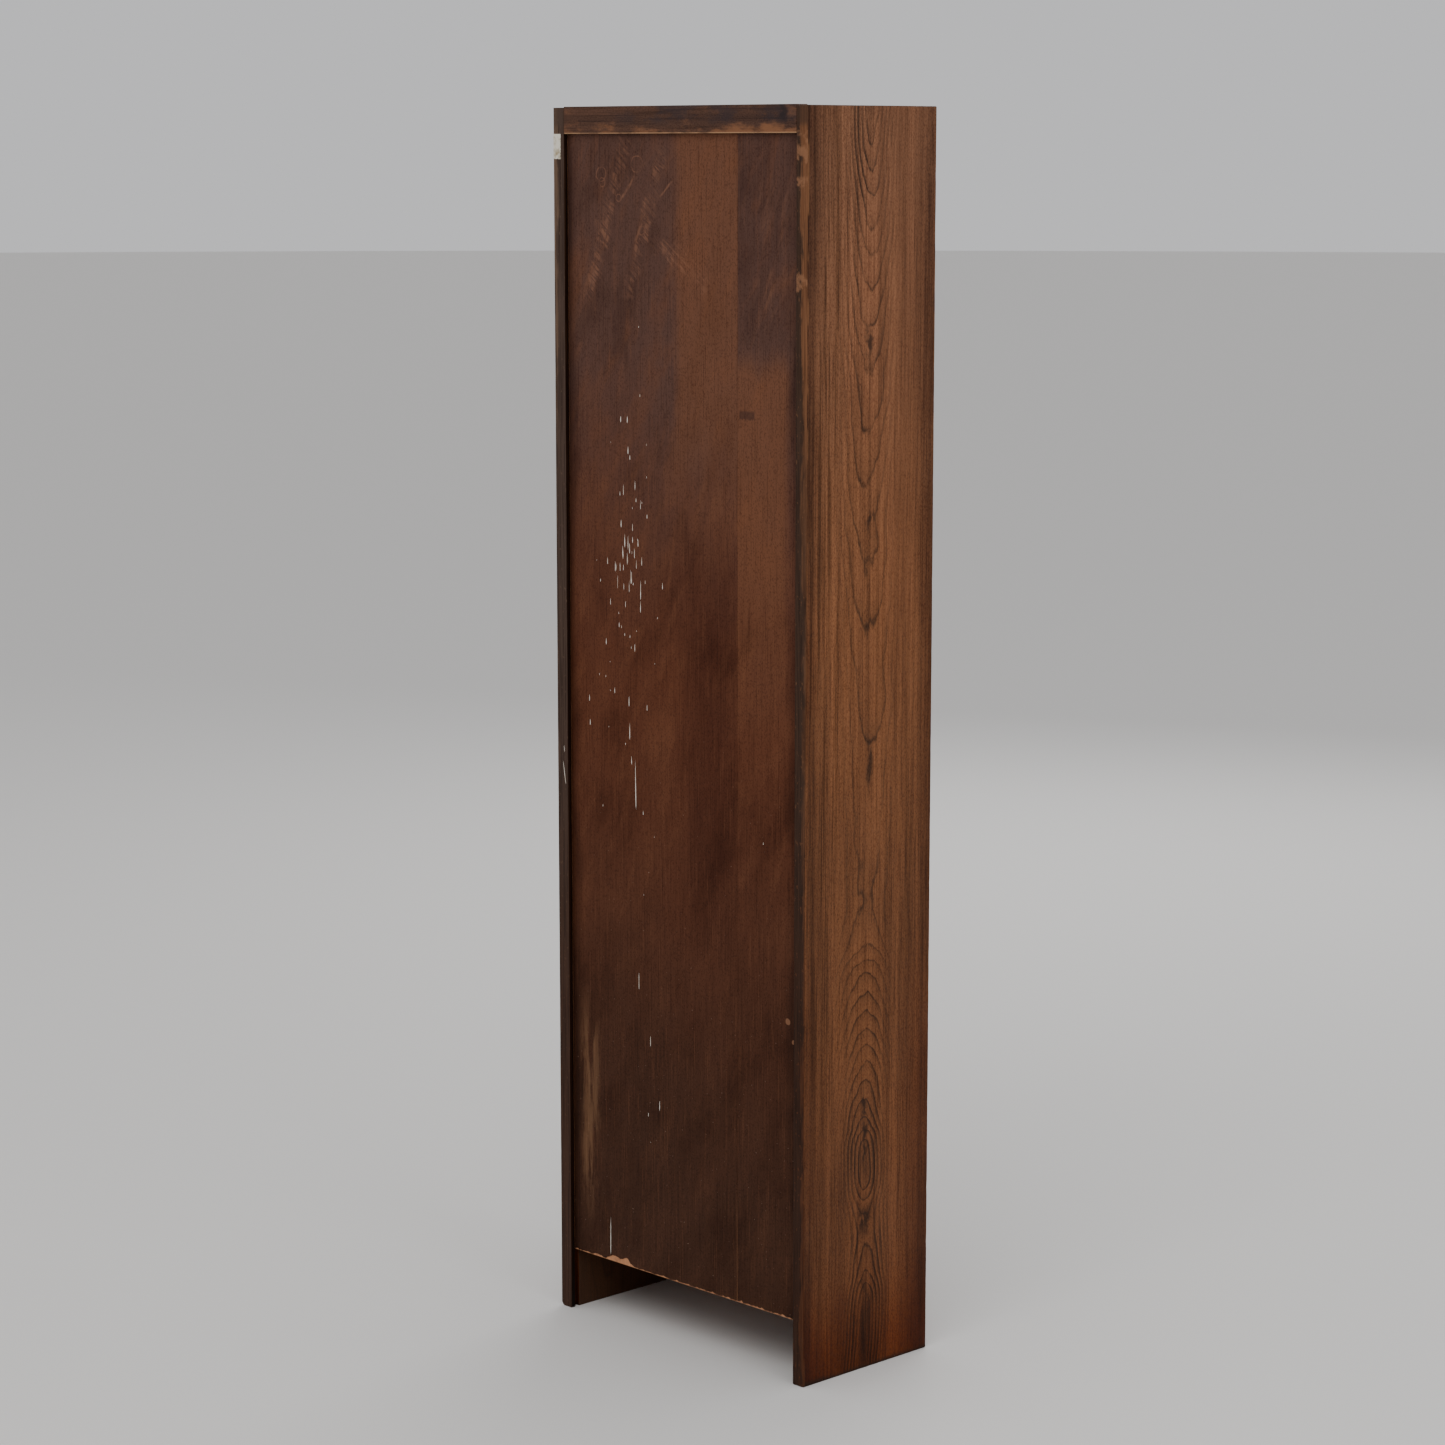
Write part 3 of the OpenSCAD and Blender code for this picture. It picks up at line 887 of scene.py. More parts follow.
@dataclass(frozen=True)
class OldPaper:
    """A scrap of plain paper, yellowed and soiled."""

    name: str = "old_paper"

    def make(self) -> bpy.types.Material:
        """Make the finish.

        Returns:
            The material.
        """
        r = Recipe(self.name)
        soil = r.cloud((120.0, 120.0, 90.0), 2.0, 4.0, 0.65)
        fibres = r.cloud((900.0, 900.0, 500.0), 3.0, 2.0)
        r.colour = r.blend(r.rise(soil, 0.45, 0.7), tone(226, 220, 204), tone(160, 142, 112))
        r.tint(r.times(fibres, 0.25), 190, 180, 160)
        r.relief(r.add(soil, fibres), 0.1 * MM, 0.5)
        return r.finish(0.8, Specular_IOR_Level=0.2)


@dataclass(frozen=True)
class AgedMetal:
    """Brass or steel that hands and years have dulled."""

    name: str
    bright: Colour
    tarnish: Colour
    rough: float = 0.32

    def make(self) -> bpy.types.Material:
        """Make the finish.

        Returns:
            The material.
        """
        r = Recipe(self.name)
        film = r.cloud((160.0, 160.0, 160.0), 1.0, 4.0, 0.6)
        fine = r.cloud((900.0, 900.0, 900.0), 2.0, 2.0)
        r.colour = r.blend(r.rise(film, 0.42, 0.68), self.bright, self.tarnish)
        r.relief(fine, 0.03 * MM, 0.4)
        return r.finish(r.rise(film, 0.35, 0.7, self.rough - 0.07, self.rough + 0.2), Metallic=1.0)


@dataclass(frozen=True)
class WindowGlass:
    """Old drawn glass: clear enough to light the shelves behind, with shallow waves and some dust."""

    name: str = "window_glass"

    def make(self) -> bpy.types.Material:
        """Make the finish.

        Returns:
            The material.
        """
        r = Recipe(self.name)
        waves = r.cloud((9.0, 9.0, 22.0), 1.0, 2.0)
        dust = r.cloud((14.0, 14.0, 20.0), 2.0, 2.0)
        r.relief(waves, 0.1 * MM, 0.2)
        r.colour = r.blend(r.rise(dust, 0.4, 0.7, 0.0, 0.2), tone(40, 50, 45), tone(96, 94, 86))
        return r.finish(r.rise(dust, 0.3, 0.7, 0.03, 0.07), Specular_IOR_Level=0.9, IOR=1.7, Alpha=0.2)


@dataclass(frozen=True)
class StageTone:
    """The studio floor's plain pale tone."""

    name: str = "studio_floor"
    shade: Colour = tone(226, 224, 221)

    def make(self) -> bpy.types.Material:
        """Make the finish.

        Returns:
            The material.
        """
        r = Recipe(self.name)
        r.colour = self.shade
        return r.finish(0.75, Specular_IOR_Level=0.2)


# --- Making pieces ----------------------------------------------------------------------------


def link(thing: bpy.types.Object) -> None:
    """Put an object into the scene."""
    bpy.context.scene.collection.objects.link(thing)


def piece_from(bm: bmesh.types.BMesh, name: str, material: bpy.types.Material, body: str,
               sharp: float = 12.0, node: str = "") -> None:
    """Turn a finished mesh into a piece of the object.

    Args:
        bm: The mesh, in the row's frame. It is freed here.
        name: The piece's name.
        material: Its finish.
        body: The body it rides on.
        sharp: Edges that turn more than this many degrees stay crisp.
        node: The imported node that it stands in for, if it does.
    """
    bmesh.ops.recalc_face_normals(bm, faces=bm.faces)
    for face in bm.faces:
        face.smooth = True
    for edge in bm.edges:
        edge.smooth = len(edge.link_faces) == 2 and edge.calc_face_angle(0.0) < math.radians(sharp)
    mesh = bpy.data.meshes.new(name)
    bm.to_mesh(mesh)
    bm.free()
    mesh.materials.append(material)
    piece = bpy.data.objects.new(name, mesh)
    link(piece)
    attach(piece, body)
    if node:
        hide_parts(node)
    log.info("piece %s", name)


def merged_copy(node: str, weld: float = 0.002 * MM, flat: float = 0.4) -> bmesh.types.BMesh:
    """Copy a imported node's mesh, merged and with its flat faces made whole.

    Args:
        node: The node's name.
        weld: Vertices nearer than this are merged, in metres.
        flat: Faces that turn less than this many degrees become one.

    Returns:
        The new mesh.
    """
    bm = bmesh.new()
    bm.from_mesh(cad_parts[node].data)
    bmesh.ops.remove_doubles(bm, verts=bm.verts, dist=weld)
    bmesh.ops.dissolve_limit(bm, angle_limit=math.radians(flat), verts=bm.verts, edges=bm.edges)
    return bm


def round_off(bm: bmesh.types.BMesh, edges: list[bmesh.types.BMEdge], width: float, segments: int) -> None:
    """Round some edges of a mesh.

    Args:
        bm: The mesh.
        edges: The edges.
        width: How far the rounding reaches from each edge, in metres.
        segments: Facets across the rounding.
    """
    bmesh.ops.bevel(bm, geom=edges, offset=width, offset_type="OFFSET", segments=segments, profile=0.5,
                    affect="EDGES", clamp_overlap=True, material=-1)


def ease(bm: bmesh.types.BMesh, width: float, segments: int = 2, least: float = 3 * MM,
         turn: float = 40.0) -> None:
    """Round the outward corners of a mesh.

    Args:
        bm: The mesh.
        width: How far the rounding reaches from each edge, in metres.
        segments: Facets across the rounding.
        least: Shorter edges are left as they are.
        turn: Edges that turn less than this many degrees are left too.
    """
    outward = [e for e in bm.edges if e.is_manifold and e.is_convex and e.calc_length() > least
               and e.calc_face_angle() > math.radians(turn)]
    round_off(bm, outward, width, segments)


def thicken(bm: bmesh.types.BMesh) -> list[bmesh.types.BMVert]:
    """Close a flat sheet with a second copy of its face.

    Args:
        bm: The sheet's mesh.

    Returns:
        The copy's vertices, still to be moved off the sheet.
    """
    made = bmesh.ops.extrude_face_region(bm, geom=bm.faces[:])
    return [g for g in made["geom"] if isinstance(g, bmesh.types.BMVert)]


def wave(x: float, y: float, z: float) -> float:
    """Read smooth noise between -1 and 1 at a place."""
    return noise.noise(Vector((x, y, z)))


def wear_arrises(bm: bmesh.types.BMesh, axis: int, step: float, depth: float, seed: float) -> None:
    """Dent the long rounded edges of a board a little, unevenly along its length.

    Args:
        bm: The mesh, with its edges already eased.
        axis: 0, 1 or 2 for a board that runs along X, Y or Z.
        step: The spacing of the new vertices along the board, in metres.
        depth: The deepest dent, in metres.
        seed: Sets this board apart from the others.
    """
    places = [v.co[axis] for v in bm.verts]
    low, high = min(places), max(places)
    normal = Vector([float(i == axis) for i in range(3)])
    for k in range(1, int((high - low) / step)):
        bmesh.ops.bisect_plane(bm, geom=bm.verts[:] + bm.edges[:] + bm.faces[:], dist=1e-7,
                               plane_co=normal * (low + k * step), plane_no=normal)
    bm.normal_update()
    for v in bm.verts:
        corner = 1.0 - max(abs(c) for c in v.normal)
        if corner < 0.05:
            continue
        dent = noise.noise(v.co * 45.0 + Vector((seed, seed, seed))) + 0.5 * noise.noise(v.co * 190.0)
        v.co -= v.normal * depth * min(max(dent - 0.05, 0.0), 1.0) * min(corner * 4.0, 1.0)


@dataclass
class Workshop:
    """Every finish of the object, made once and shared by its pieces."""

    y_front: float
    y_rear: float
    case_half: float
    inner_half: float
    rail_foot: float
    panel_inner: float
    made: dict[str, bpy.types.Material] = field(default_factory=dict)

    def recipes(self) -> list:
        """List the finishes, from the case's boards to its brass.

        Returns:
            The finishes, each with a name and a make method.
        """
        oak = dict(light=tone(138, 90, 58), deep=tone(110, 70, 44), ring=tone(54, 37, 25))
        side = dict(grain=Grain.UPRIGHT_SIDE, y_rear=self.y_rear, y_front=self.y_front)
        across = dict(grain=Grain.LEVEL_FRONT, run=0.4, start=-0.2)
        left = SideOak(
            "side_left_oak", **oak, **side, x_outer=-self.case_half, x_inner=-self.inner_half,
            heart=self.y_rear - 96 * MM, ring_strength=0.95,
            spots=((0.158, 0.184, 14.0), (0.236, 0.318, 5.0), (0.086, 0.1, 6.0), (0.945, 0.965, 4.0),
                   (1.13, 1.16, 5.0)),
            bare_patches=((1.336, 1.37), (1.312, 1.322), (1.205, 1.221)),
            heart_line=((0.0, 0.03), (0.05, 0.07), (0.085, 0.26), (0.12, 0.3), (0.165, 0.12), (0.2, 0.27),
                        (0.25, 0.5), (0.32, 0.8), (0.39, 0.98), (0.48, 0.93), (0.58, 0.87), (0.7, 0.75),
                        (0.78, 0.64), (0.88, 0.45), (1.0, 0.1)))
        right = SideOak(
            "side_right_oak", **oak, **side, x_outer=self.case_half, x_inner=self.inner_half,
            heart=self.y_rear - 60 * MM, shift=11.0, ring_strength=0.7, worn_share=0.12,
            edge_dark=tone(74, 57, 48), edge_worn=tone(104, 82, 66),
            heart_line=((0.0, 0.9), (0.25, 0.62), (0.5, 0.4), (0.62, 0.1), (0.8, 0.35), (1.0, 0.75)))
        return [
            left, right,
            Oak("shelf_oak", **oak, grain=Grain.LEVEL_FLAT, shift=23.0, run=0.4, start=-0.2),
            Oak("door_stile_oak", **oak, grain=Grain.UPRIGHT_FRONT, shift=31.0, heart=0.11,
                ring_strength=0.45),
            Oak("door_rail_oak", **oak, **across, shift=37.0, heart=0.6, ring_strength=0.45),
            RailOak("back_rail_oak", light=tone(92, 64, 50), deep=tone(72, 50, 41), ring=tone(44, 32, 28),
                    **across, shift=41.0, heart=1.33, z_foot=self.rail_foot),
            Oak("block_oak", light=tone(128, 96, 70), deep=tone(100, 72, 52), ring=tone(66, 46, 33),
                **across, shift=47.0, rough=0.7),
            StainedVeneer(half=self.inner_half),
            BareWood(y_inner=self.panel_inner),
            DriedPaint(),
            OldPaper(),
            AgedMetal("aged_brass", tone(196, 158, 88), tone(116, 86, 44)),
            AgedMetal("dull_steel", tone(150, 148, 144), tone(92, 84, 76), rough=0.42),
            WindowGlass(),
            StageTone(),
        ]

    def open(self) -> "Workshop":
        """Make every finish.

        Returns:
            The workshop itself.
        """
        for recipe in self.recipes():
            self.made[recipe.name] = recipe.make()
            log.info("finish %s", recipe.name)
        return self

    def __getitem__(self, name: str) -> bpy.types.Material:
        """Look a finish up by name."""
        return self.made[name]


@dataclass
class Carcass:
    """The fixed joinery: side boards, shelves, top, plinth, rail and their small parts."""

    finishes: Workshop
    arris: float = 1.3 * MM
    worn_step: float = 9 * MM
    worn_depth: float = 0.9 * MM
    broken_corner: float = 6 * MM

    def eased(self, node: str, finish: str, slot: str, width: float, wear: int | None = None) -> None:
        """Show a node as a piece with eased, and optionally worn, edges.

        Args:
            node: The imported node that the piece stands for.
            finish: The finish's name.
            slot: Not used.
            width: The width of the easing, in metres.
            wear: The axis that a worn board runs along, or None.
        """
        bm = merged_copy(node)
        ease(bm, width)
        if wear is not None:
            wear_arrises(bm, wear, self.worn_step, self.worn_depth, len(node) * 1.3)
        piece_from(bm, node + "_board", self.finishes[finish], "case", node=node)

    def side(self, node: str, finish: str, broken: bool) -> None:
        """Build a side board, worn along its arrises.

        Args:
            node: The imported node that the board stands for.
            finish: The finish's name.
            broken: Whether the board's outer foot corner has been knocked round.
        """
        bm = merged_copy(node)
        if broken:
            outer = max(v.co.x for v in bm.verts)
            rim = [e for e in bm.edges
                   if all(v.co.x > outer - 0.1 * MM and v.co.z < 0.1 * MM for v in e.verts)]
            round_off(bm, rim, self.broken_corner, 5)
        ease(bm, self.arris, 3)
        wear_arrises(bm, 2, self.worn_step, self.worn_depth, 7.0 if broken else 2.0)
        piece_from(bm, node + "_board", self.finishes[finish], "case", node=node)

    def build(self) -> None:
        """Build every fixed board."""
        self.side("side_left", "side_left_oak", False)
        self.side("side_right", "side_right_oak", True)
        self.eased("top_board", "shelf_oak", "shelf_oak", 0.8 * MM)
        self.eased("bottom_shelf", "shelf_oak", "shelf_oak", 1.0 * MM)
        for k in range(1, SHELVES + 1):
            self.eased(f"shelf_{k}", "shelf_oak", "shelf_oak", 1.0 * MM)
        self.eased("plinth", "door_rail_oak", "shelf_oak", 0.8 * MM)
        self.eased("back_rail", "back_rail_oak", "rail_oak", 0.9 * MM, wear=0)
        self.eased("glue_blocks", "block_oak", "block_oak", 0.6 * MM)
        self.eased("door_stops", "shelf_oak", "shelf_oak", 1.2 * MM)
        self.eased("groove_plugs", "block_oak", "rail_oak", 0.25 * MM)
        self.eased("panel_pins", "dull_steel", "steel", 0.1 * MM)


@dataclass
class BackPanel:
    """The back: a core sheet, two leaves of face veneer that have chipped, and paint drips."""

    finishes: Workshop
    veneer_t: float = 0.8 * MM
    sunk: float = 0.13 * MM
    ripple: float = 0.12 * MM
    seam: float = -90 * MM
    seam_gap: float = 0.12 * MM
    crack: float = 0.5 * MM
    crack_top: float = 210 * MM
    chip_centre: float = 106 * MM
    chip_half: float = 24 * MM
    chip_h: float = 8.5 * MM
    splinter_from: float = 60 * MM
    splinter_full: float = -30 * MM
    splinter_h: float = 5 * MM
    columns: int = 150
    rows: int = 60

    def __post_init__(self) -> None:
        """Take the panel's place from the frame."""
        self.low, self.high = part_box("back_panel")
        self.inner = self.finishes.inner_half

    def chipped(self, x: float) -> float:
        """Measure how far the veneer's foot has broken away.

        Args:
            x: The place across the panel.

        Returns:
            The height that is missing there, in metres.
        """
        ragged = (0.4 + abs(wave(x * 170.0, 0.3, 0.0)) * 2.6) * MM
        flakes = max(wave(x * 38.0, 4.0, 0.0) - 0.22, 0.0) * 6 * MM
        reach = 1.0 - ((x - self.chip_centre) / self.chip_half) ** 2
        torn = max(reach, 0.0) ** 0.7 * self.chip_h * (0.75 + 0.5 * wave(x * 90.0, 7.0, 0.0))
        share = (self.splinter_from - x) / (self.splinter_from - self.splinter_full)
        splinters = max(wave(x * 150.0, 2.0, 0.0), 0.0) * min(max(share, 0.0), 1.0) * self.splinter_h
        return min(ragged + flakes + splinters + torn, self.chip_h * 1.2)

    def leaf(self, name: str, x0: float, x1: float, seam_side: int) -> None:
        """Lay one leaf of face veneer.

        Args:
            name: The piece's name.
            x0: Its edge towards -X.
            x1: Its edge towards +X.
            seam_side: -1 or 1, the side on which the leaf meets the other.
        """
        bm = bmesh.new()
        columns = max(int(self.columns * (x1 - x0) / (2 * self.inner)), 8)
        bmesh.ops.create_grid(bm, x_segments=columns, y_segments=self.rows, size=0.5)
        for v in bm.verts:
            across, up = v.co.x + 0.5, v.co.y + 0.5
            x = x0 + across * (x1 - x0)
            at_seam = across > 0.999 if seam_side > 0 else across < 0.001
            foot = self.low.z + self.chipped(x)
            z = foot + up * (self.high.z - foot)
            if at_seam:
                opened = max(1.0 - (z - self.low.z) / self.crack_top, 0.0) ** 0.5
                x -= seam_side * (self.seam_gap + self.crack * opened * (0.7 + 0.6 * wave(0, 0, z * 60)))
            v.co = Vector((x, self.high.y - self.veneer_t, z))
        for v in thicken(bm):
            v.co.y = self.high.y - self.sunk + wave(v.co.x * 9.0, 0.0, v.co.z * 5.0) * self.ripple
        piece_from(bm, name, self.finishes["stained_veneer"], "case", 50.0)

    def core(self) -> None:
        """Build the sheet under the veneer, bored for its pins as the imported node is."""
        bm = merged_copy("back_panel")
        for v in bm.verts:
            v.co.y = min(v.co.y, self.high.y - self.veneer_t)
        bmesh.ops.remove_doubles(bm, verts=bm.verts, dist=0.001 * MM)
        piece_from(bm, "back_panel_core", self.finishes["bare_core"], "case",
                   node="back_panel")

    def drip(self, bm: bmesh.types.BMesh, x: float, z: float, long: float, wide: float, y: float,
             slant: float = 0.0) -> None:
        """Add one run of dried paint.

        Args:
            bm: The mesh that holds every run.
            x: Its place across the back, in millimetres, as are the next three.
            z: The height of its lower, fuller end.
            long: Its length.
            wide: Its width at the fuller end.
            y: The surface that it lies on, in metres.
            slant: How far it strays towards +X for each unit that it climbs.
        """
        x, z, long, wide = x * MM, z * MM, long * MM, wide * MM
        made = bmesh.ops.create_icosphere(bm, subdivisions=2, radius=1.0)["verts"]
        lean = slant + wave(x * 300.0, z * 40.0, 0.0) * 0.02
        for v in made:
            share = (v.co.z + 1.0) / 2.0
            taper = 1.0 - 0.62 * share ** 0.7
            v.co.x = x + v.co.x * wide * 0.38 * taper + lean * share * long
            v.co.y = y + v.co.y * min(wide * 0.3, 0.6 * MM) * taper
            v.co.z = z + share * long

    def drips(self) -> None:
        """Scatter the paint: a few long runs placed one by one, and a loose cloud about them."""
        rng = random.Random(5)
        face = self.high.y - 0.1 * MM
        bm = bmesh.new()
        # Across, the height of the middle, length and width, in millimetres
        runs = [
            (66, 1080, 4, 1.8), (98, 1052, 7, 2.2), (87, 1052, 8, 2.2), (86, 1018, 9, 2.0),
            (83, 1010, 6, 2.0), (73, 963, 5, 1.8), (55, 946, 5, 1.6), (98, 935, 9, 2.0), (79, 932, 9, 1.8),
            (121, 891, 8, 2.0), (108, 886, 12, 1.8), (100, 886, 10, 1.8), (81, 875, 14, 2.0),
            (66, 862, 22, 1.8), (30, 870, 8, 1.6), (133, 868, 4, 1.4), (102, 820, 6, 1.6), (98, 818, 4, 1.4),
            (124, 799, 8, 1.8), (76, 796, 9, 1.7), (125, 759, 3, 1.4), (110, 744, 7, 1.6), (86, 734, 12, 1.8),
            (56, 730, 7, 1.6), (153, 731, 8, 1.6), (152, 703, 7, 1.5), (85, 700, 20, 1.8), (82, 667, 10, 1.7),
            (75, 640, 58, 2.0), (131, 609, 3, 1.4), (63, 609, 5, 1.4), (-131, 601, 3, 1.4),
            (71, 413, 20, 1.7), (52, 346, 13, 1.6), (37, 273, 12, 1.6), (56, 259, 5, 1.3),
            (121.5, 101, 46, 1.9),
            (92, 916, 16, 2.0), (84, 908, 12, 2.0), (76, 903, 12, 1.8), (70, 915, 9, 1.8), (88, 896, 14, 1.8),
            (95, 900, 10, 1.9), (64, 895, 10, 1.7), (79, 918, 7, 1.7),
        ]
        for x, z, long, wide in runs:
            self.drip(bm, x, z - long / 2, long, wide, face)
        for _ in range(24):
            x, z = rng.gauss(84, 15), rng.gauss(880, 38)
            self.drip(bm, x, z, rng.uniform(3.0, 17.0), rng.uniform(0.9, 1.6), face)
        for _ in range(20):
            x, z = rng.gauss(85, 26), rng.gauss(760, 170)
            if 10 < x < 170 and z > 110:
                self.drip(bm, x, z, rng.uniform(1.0, 3.0), rng.uniform(0.7, 1.2), face)
        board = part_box("side_right")[1].y - 0.1 * MM
        self.drip(bm, 188, 626, 30, 1.9, board, 0.16)
        self.drip(bm, 190, 664, 9, 1.4, board, 0.1)
        piece_from(bm, "paint_drips", self.finishes["dried_paint"], "case", 80.0)

    def build(self) -> None:
        """Build the back."""
        self.core()
        self.leaf("veneer_leaf_wide", self.seam, self.inner, -1)
        self.leaf("veneer_leaf_narrow", -self.inner, self.seam, 1)
        self.drips()


@dataclass
class PaperScrap:
    """A torn, slightly lifted scrap of plain paper."""

    finishes: Workshop
    columns: int = 14
    rows: int = 30
    tear: float = 0.9 * MM
    clear: float = 0.03 * MM
    thick: float = 0.12 * MM

    def build(self) -> None:
        """Build the scrap from a grid, torn along its free edges."""
        low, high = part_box("paper_scrap")
        bm = bmesh.new()
        bmesh.ops.create_grid(bm, x_segments=self.columns, y_segments=self.rows, size=0.5)
        for v in bm.verts:
            across, up = v.co.x + 0.5, v.co.y + 0.5
            x = low.x + across * (high.x - low.x)
            z = low.z + up * (high.z - low.z)
            torn = abs(wave(x * 300, 0, z * 300)) * self.tear
            if across < 0.001:
                x += torn * 1.6
            if up < 0.001:
                z += torn * 1.8
            lift = (1.0 - across) * (1.0 - up) * self.thick
            v.co = Vector((x, low.y + self.clear + lift, z))
        for v in thicken(bm):
            v.co.y += self.thick
        piece_from(bm, "paper_scrap_sheet", self.finishes["old_paper"], "case", 60.0,
                   node="paper_scrap")


@dataclass
class Door:
    """One glazed door with its frame, glass, beads, knob, pins and shoes."""

    finishes: Workshop
    number: int
    arris: float = 1.0 * MM
    bead_w: float = 6.9 * MM
    bead_round: float = 4.5 * MM
    ball_steps: int = 8
    ball_start: float = -52.0
    ball_sweep: float = 142.0
    turned_steps: int = 40

    def __post_init__(self) -> None:
        """Name the body that the door's pieces ride on."""
        self.body = f"door_{self.number}"

    def eased(self, part: str, finish: str, slot: str, width: float, body: str | None = None) -> None:
        """Show one of the door's nodes with eased edges.

        Args:
            part: The node's name after the door's own.
            finish: The finish's name.
            slot: Not used.
            width: The width of the easing, in metres.
            body: The body it rides on, if not the door.
        """
        node = f"{self.body}_{part}"
        bm = merged_copy(node)
        ease(bm, width)
        piece_from(bm, f"{node}_piece", self.finishes[finish], body or self.body, node=node)

    def beads(self) -> None:
        """Mould the glazing beads: a mitred frame with a rounded inner edge."""
        node = f"{self.body}_beads"
        low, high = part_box(node)
        middle, size = (low + high) / 2, high - low
        bm = bmesh.new()
        place = Matrix.Translation((middle.x, low.y, middle.z)) @ Matrix.Rotation(math.radians(90), 4, "X")
        bmesh.ops.create_grid(bm, x_segments=1, y_segments=1, size=0.5,
                              matrix=place @ Matrix.Diagonal((size.x, size.z, 1.0, 1.0)))
        whole = bm.faces[:]
        bmesh.ops.inset_region(bm, faces=whole, thickness=self.bead_w, use_even_offset=True,
                               use_boundary=True)
        bmesh.ops.delete(bm, geom=whole, context="FACES")
        bmesh.ops.translate(bm, verts=thicken(bm), vec=(0.0, size.y, 0.0))
        near = 0.1 * MM
        inner_x, inner_z = size.x / 2 - self.bead_w + near, size.z / 2 - self.bead_w + near
        rim = [e for e in bm.edges if all(
            v.co.y > high.y - 0.01 * MM and abs(v.co.x - middle.x) < inner_x
            and abs(v.co.z - middle.z) < inner_z for v in e.verts)]
        round_off(bm, rim, self.bead_round, 5)
        piece_from(bm, f"{node}_moulding", self.finishes["door_rail_oak"], self.body, 40.0,
                   node=node)

    def knob(self) -> None:
        """Turn the knob: a stepped base, a thin neck and a flattened ball."""
        node = f"{self.body}_knob"
        low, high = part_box(node)
        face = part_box(f"{self.body}_stiles")[0].y
        radius, reach = (high.z - low.z) / 2 / MM, (face - low.y) / MM
        centre = Vector(((low.x + high.x) / 2, face, (low.z + high.z) / 2))
        # Distance from the axis and place along it, in millimetres, from the shank's end outward
        outline = [(0.0, 12.0), (2.0, 12.0), (2.0, 0.4), (7.0, 0.0), (7.0, -1.0), (6.3, -1.6), (4.6, -2.0),
                   (3.5, -2.6), (3.1, -4.0), (3.3, -5.6), (4.4, -6.6)]
        half = (reach - 5.6) / 2
        for k in range(self.ball_steps + 1):
            angle = math.radians(self.ball_start + k * self.ball_sweep / self.ball_steps)
            outline.append((max(radius * math.cos(angle), 0.0), half - reach - half * math.sin(angle)))
        bm = bmesh.new()
        ring = [bm.verts.new((centre.x + r * MM, centre.y + y * MM, centre.z)) for r, y in outline]
        edges = [bm.edges.new(pair) for pair in zip(ring, ring[1:])]
        bmesh.ops.spin(bm, geom=ring + edges, cent=centre, axis=(0, 1, 0), angle=math.tau,
                       steps=self.turned_steps, use_merge=True)
        bmesh.ops.remove_doubles(bm, verts=bm.verts, dist=0.005 * MM)
        piece_from(bm, f"{node}_turned", self.finishes["aged_brass"], self.body, 38.0, node=node)

    def build(self) -> None:
        """Build the door."""
        self.eased("stiles", "door_stile_oak", "door_oak", self.arris)
        self.eased("rails", "door_rail_oak", "door_oak", self.arris)
        self.eased("glass", "window_glass", "glass", 0.3 * MM)
        self.beads()
        self.knob()
        self.eased("pins", "dull_steel", "steel", 0.3 * MM)
        self.eased("shoes", "aged_brass", "brass", 0.5 * MM, f"shoes_{self.number}")


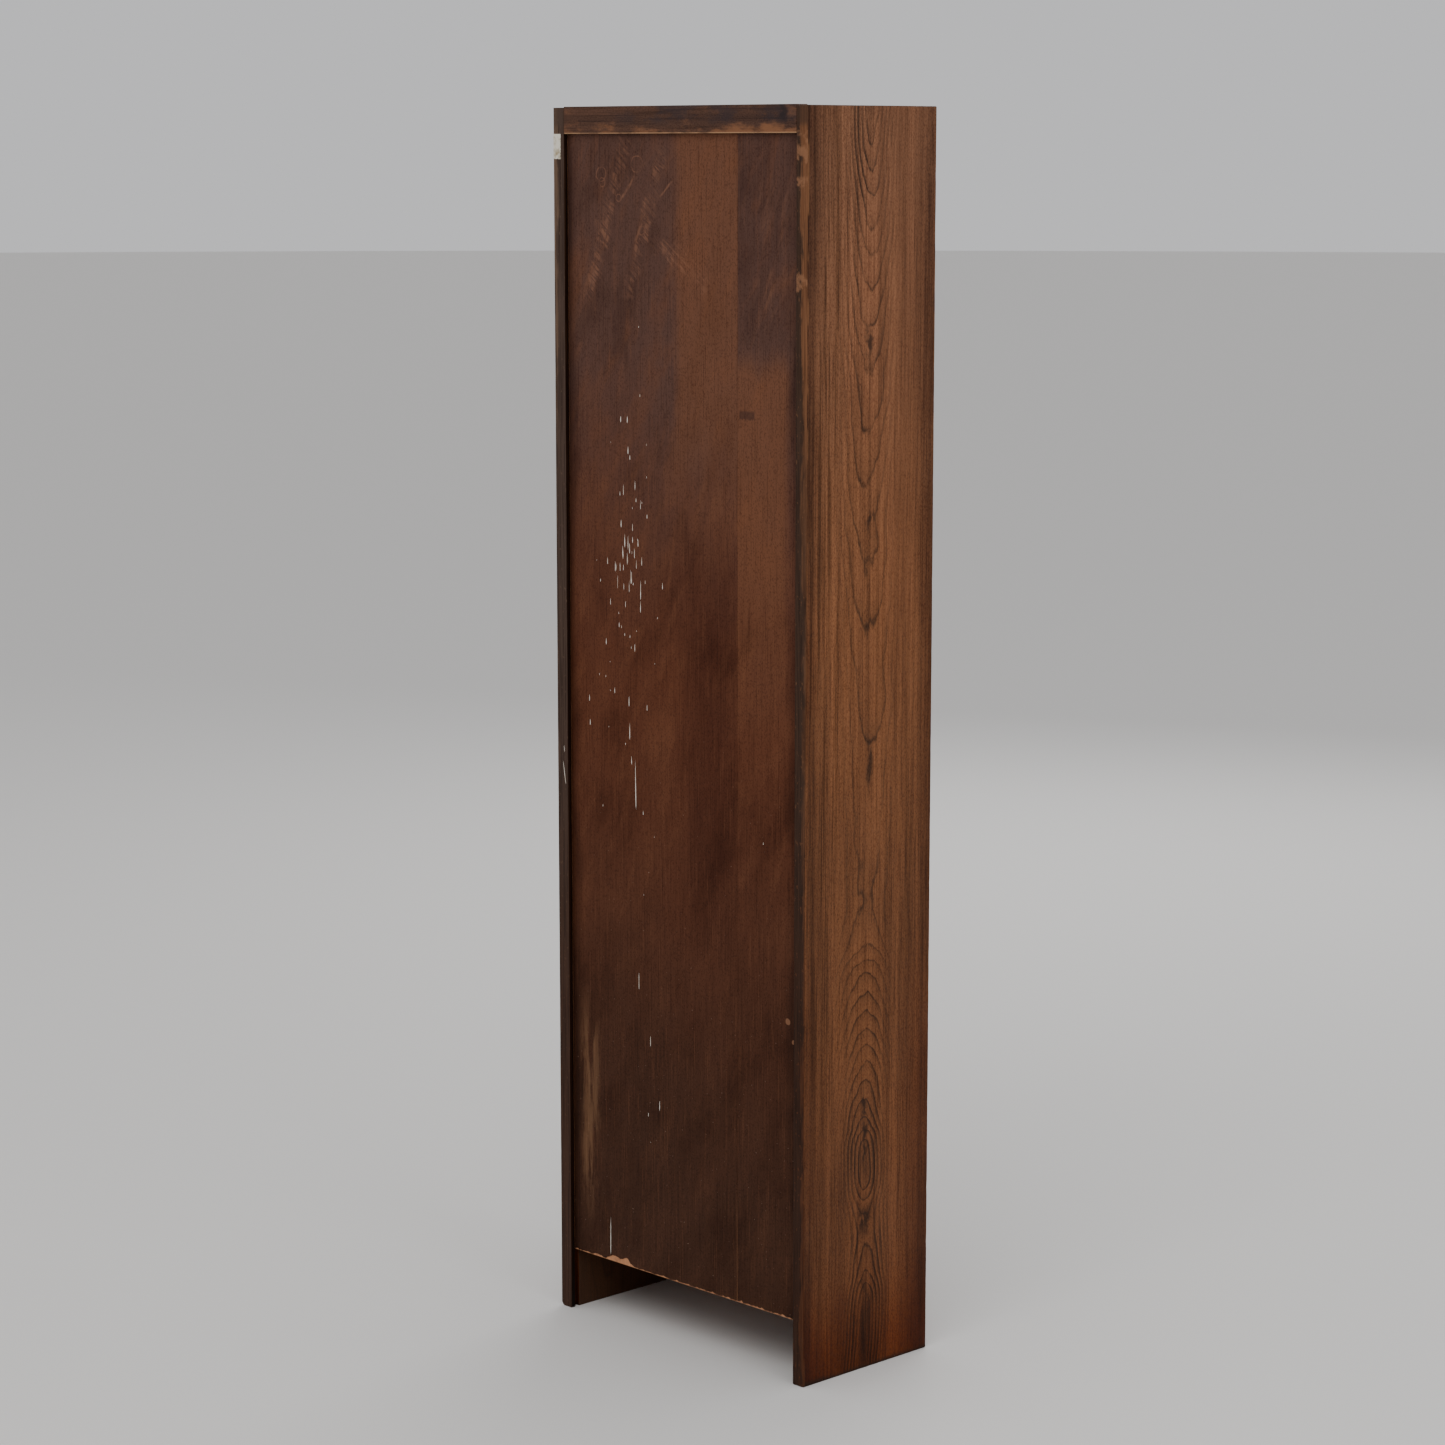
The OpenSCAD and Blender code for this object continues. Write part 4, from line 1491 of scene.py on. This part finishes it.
@dataclass
class Studio:
    """The floor, the lights and the camera."""

    finishes: Workshop
    floor_half: float = 45.0
    floor_sides: int = 96
    air: Colour = tone(222, 222, 224)
    air_strength: float = 0.9
    aim: Vector = Vector((0, 0, 0.75))
    eye: Vector = Vector((-2.888, 2.805, 1.350))
    heading: float = -133.79
    dip: float = 9.05
    lens: float = 89.66
    sensor: float = 36.0

    def lamp(self, name: str, place: Triple, size: float, power: float) -> None:
        """Hang one soft lamp that faces the case's middle.

        Args:
            name: The lamp's name.
            place: Where it hangs.
            size: The side of its square, in metres.
            power: Its power, in watts.
        """
        data = bpy.data.lights.new(name, "AREA")
        data.size, data.energy = size, power
        lamp = bpy.data.objects.new(name, data)
        lamp.location = place
        lamp.rotation_euler = (self.aim - lamp.location).to_track_quat("-Z", "Y").to_euler()
        link(lamp)

    def floor(self) -> None:
        """Lay a floor so wide that it meets the sky."""
        bm = bmesh.new()
        bmesh.ops.create_circle(bm, cap_ends=True, segments=self.floor_sides, radius=self.floor_half)
        mesh = bpy.data.meshes.new("studio_floor")
        bm.to_mesh(mesh)
        bm.free()
        mesh.materials.append(self.finishes["studio_floor"])
        floor = bpy.data.objects.new("studio_floor", mesh)
        link(floor)

    def build(self) -> None:
        """Set the scene round the case."""
        self.floor()
        world = bpy.data.worlds.new("studio")
        world.use_nodes = True
        background = world.node_tree.nodes["Background"]
        background.inputs["Color"].default_value = self.air
        background.inputs["Strength"].default_value = self.air_strength
        bpy.context.scene.world = world
        self.lamp("sky_panel", (-1.2, 2.4, 3.2), 2.4, 46.0)
        self.lamp("side_panel", (-3.2, 0.3, 2.0), 2.0, 22.0)
        self.lamp("front_panel", (1.6, -3.0, 2.4), 2.4, 40.0)
        data = bpy.data.cameras.new("camera")
        data.lens, data.sensor_width = self.lens, self.sensor
        camera = bpy.data.objects.new("camera", data)
        camera.location = self.eye
        camera.rotation_euler = (math.radians(90 - self.dip), 0.0, math.radians(self.heading))
        link(camera)
        bpy.context.scene.camera = camera


def main() -> None:
    """Build the finishes, the case, its doors and the studio, in that order."""
    logging.basicConfig(level=logging.INFO, format="%(name)s: %(message)s")
    left_low, left_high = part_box("side_left")
    rail_low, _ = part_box("back_rail")
    panel_low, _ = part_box("back_panel")
    finishes = Workshop(y_front=left_low.y, y_rear=left_high.y, case_half=-left_low.x,
                        inner_half=-left_high.x, rail_foot=rail_low.z, panel_inner=panel_low.y).open()
    Carcass(finishes).build()
    BackPanel(finishes).build()
    PaperScrap(finishes).build()
    for number in range(1, DOORS + 1):
        Door(finishes, number).build()
    Studio(finishes).build()


if __name__ == "__main__":
    main()
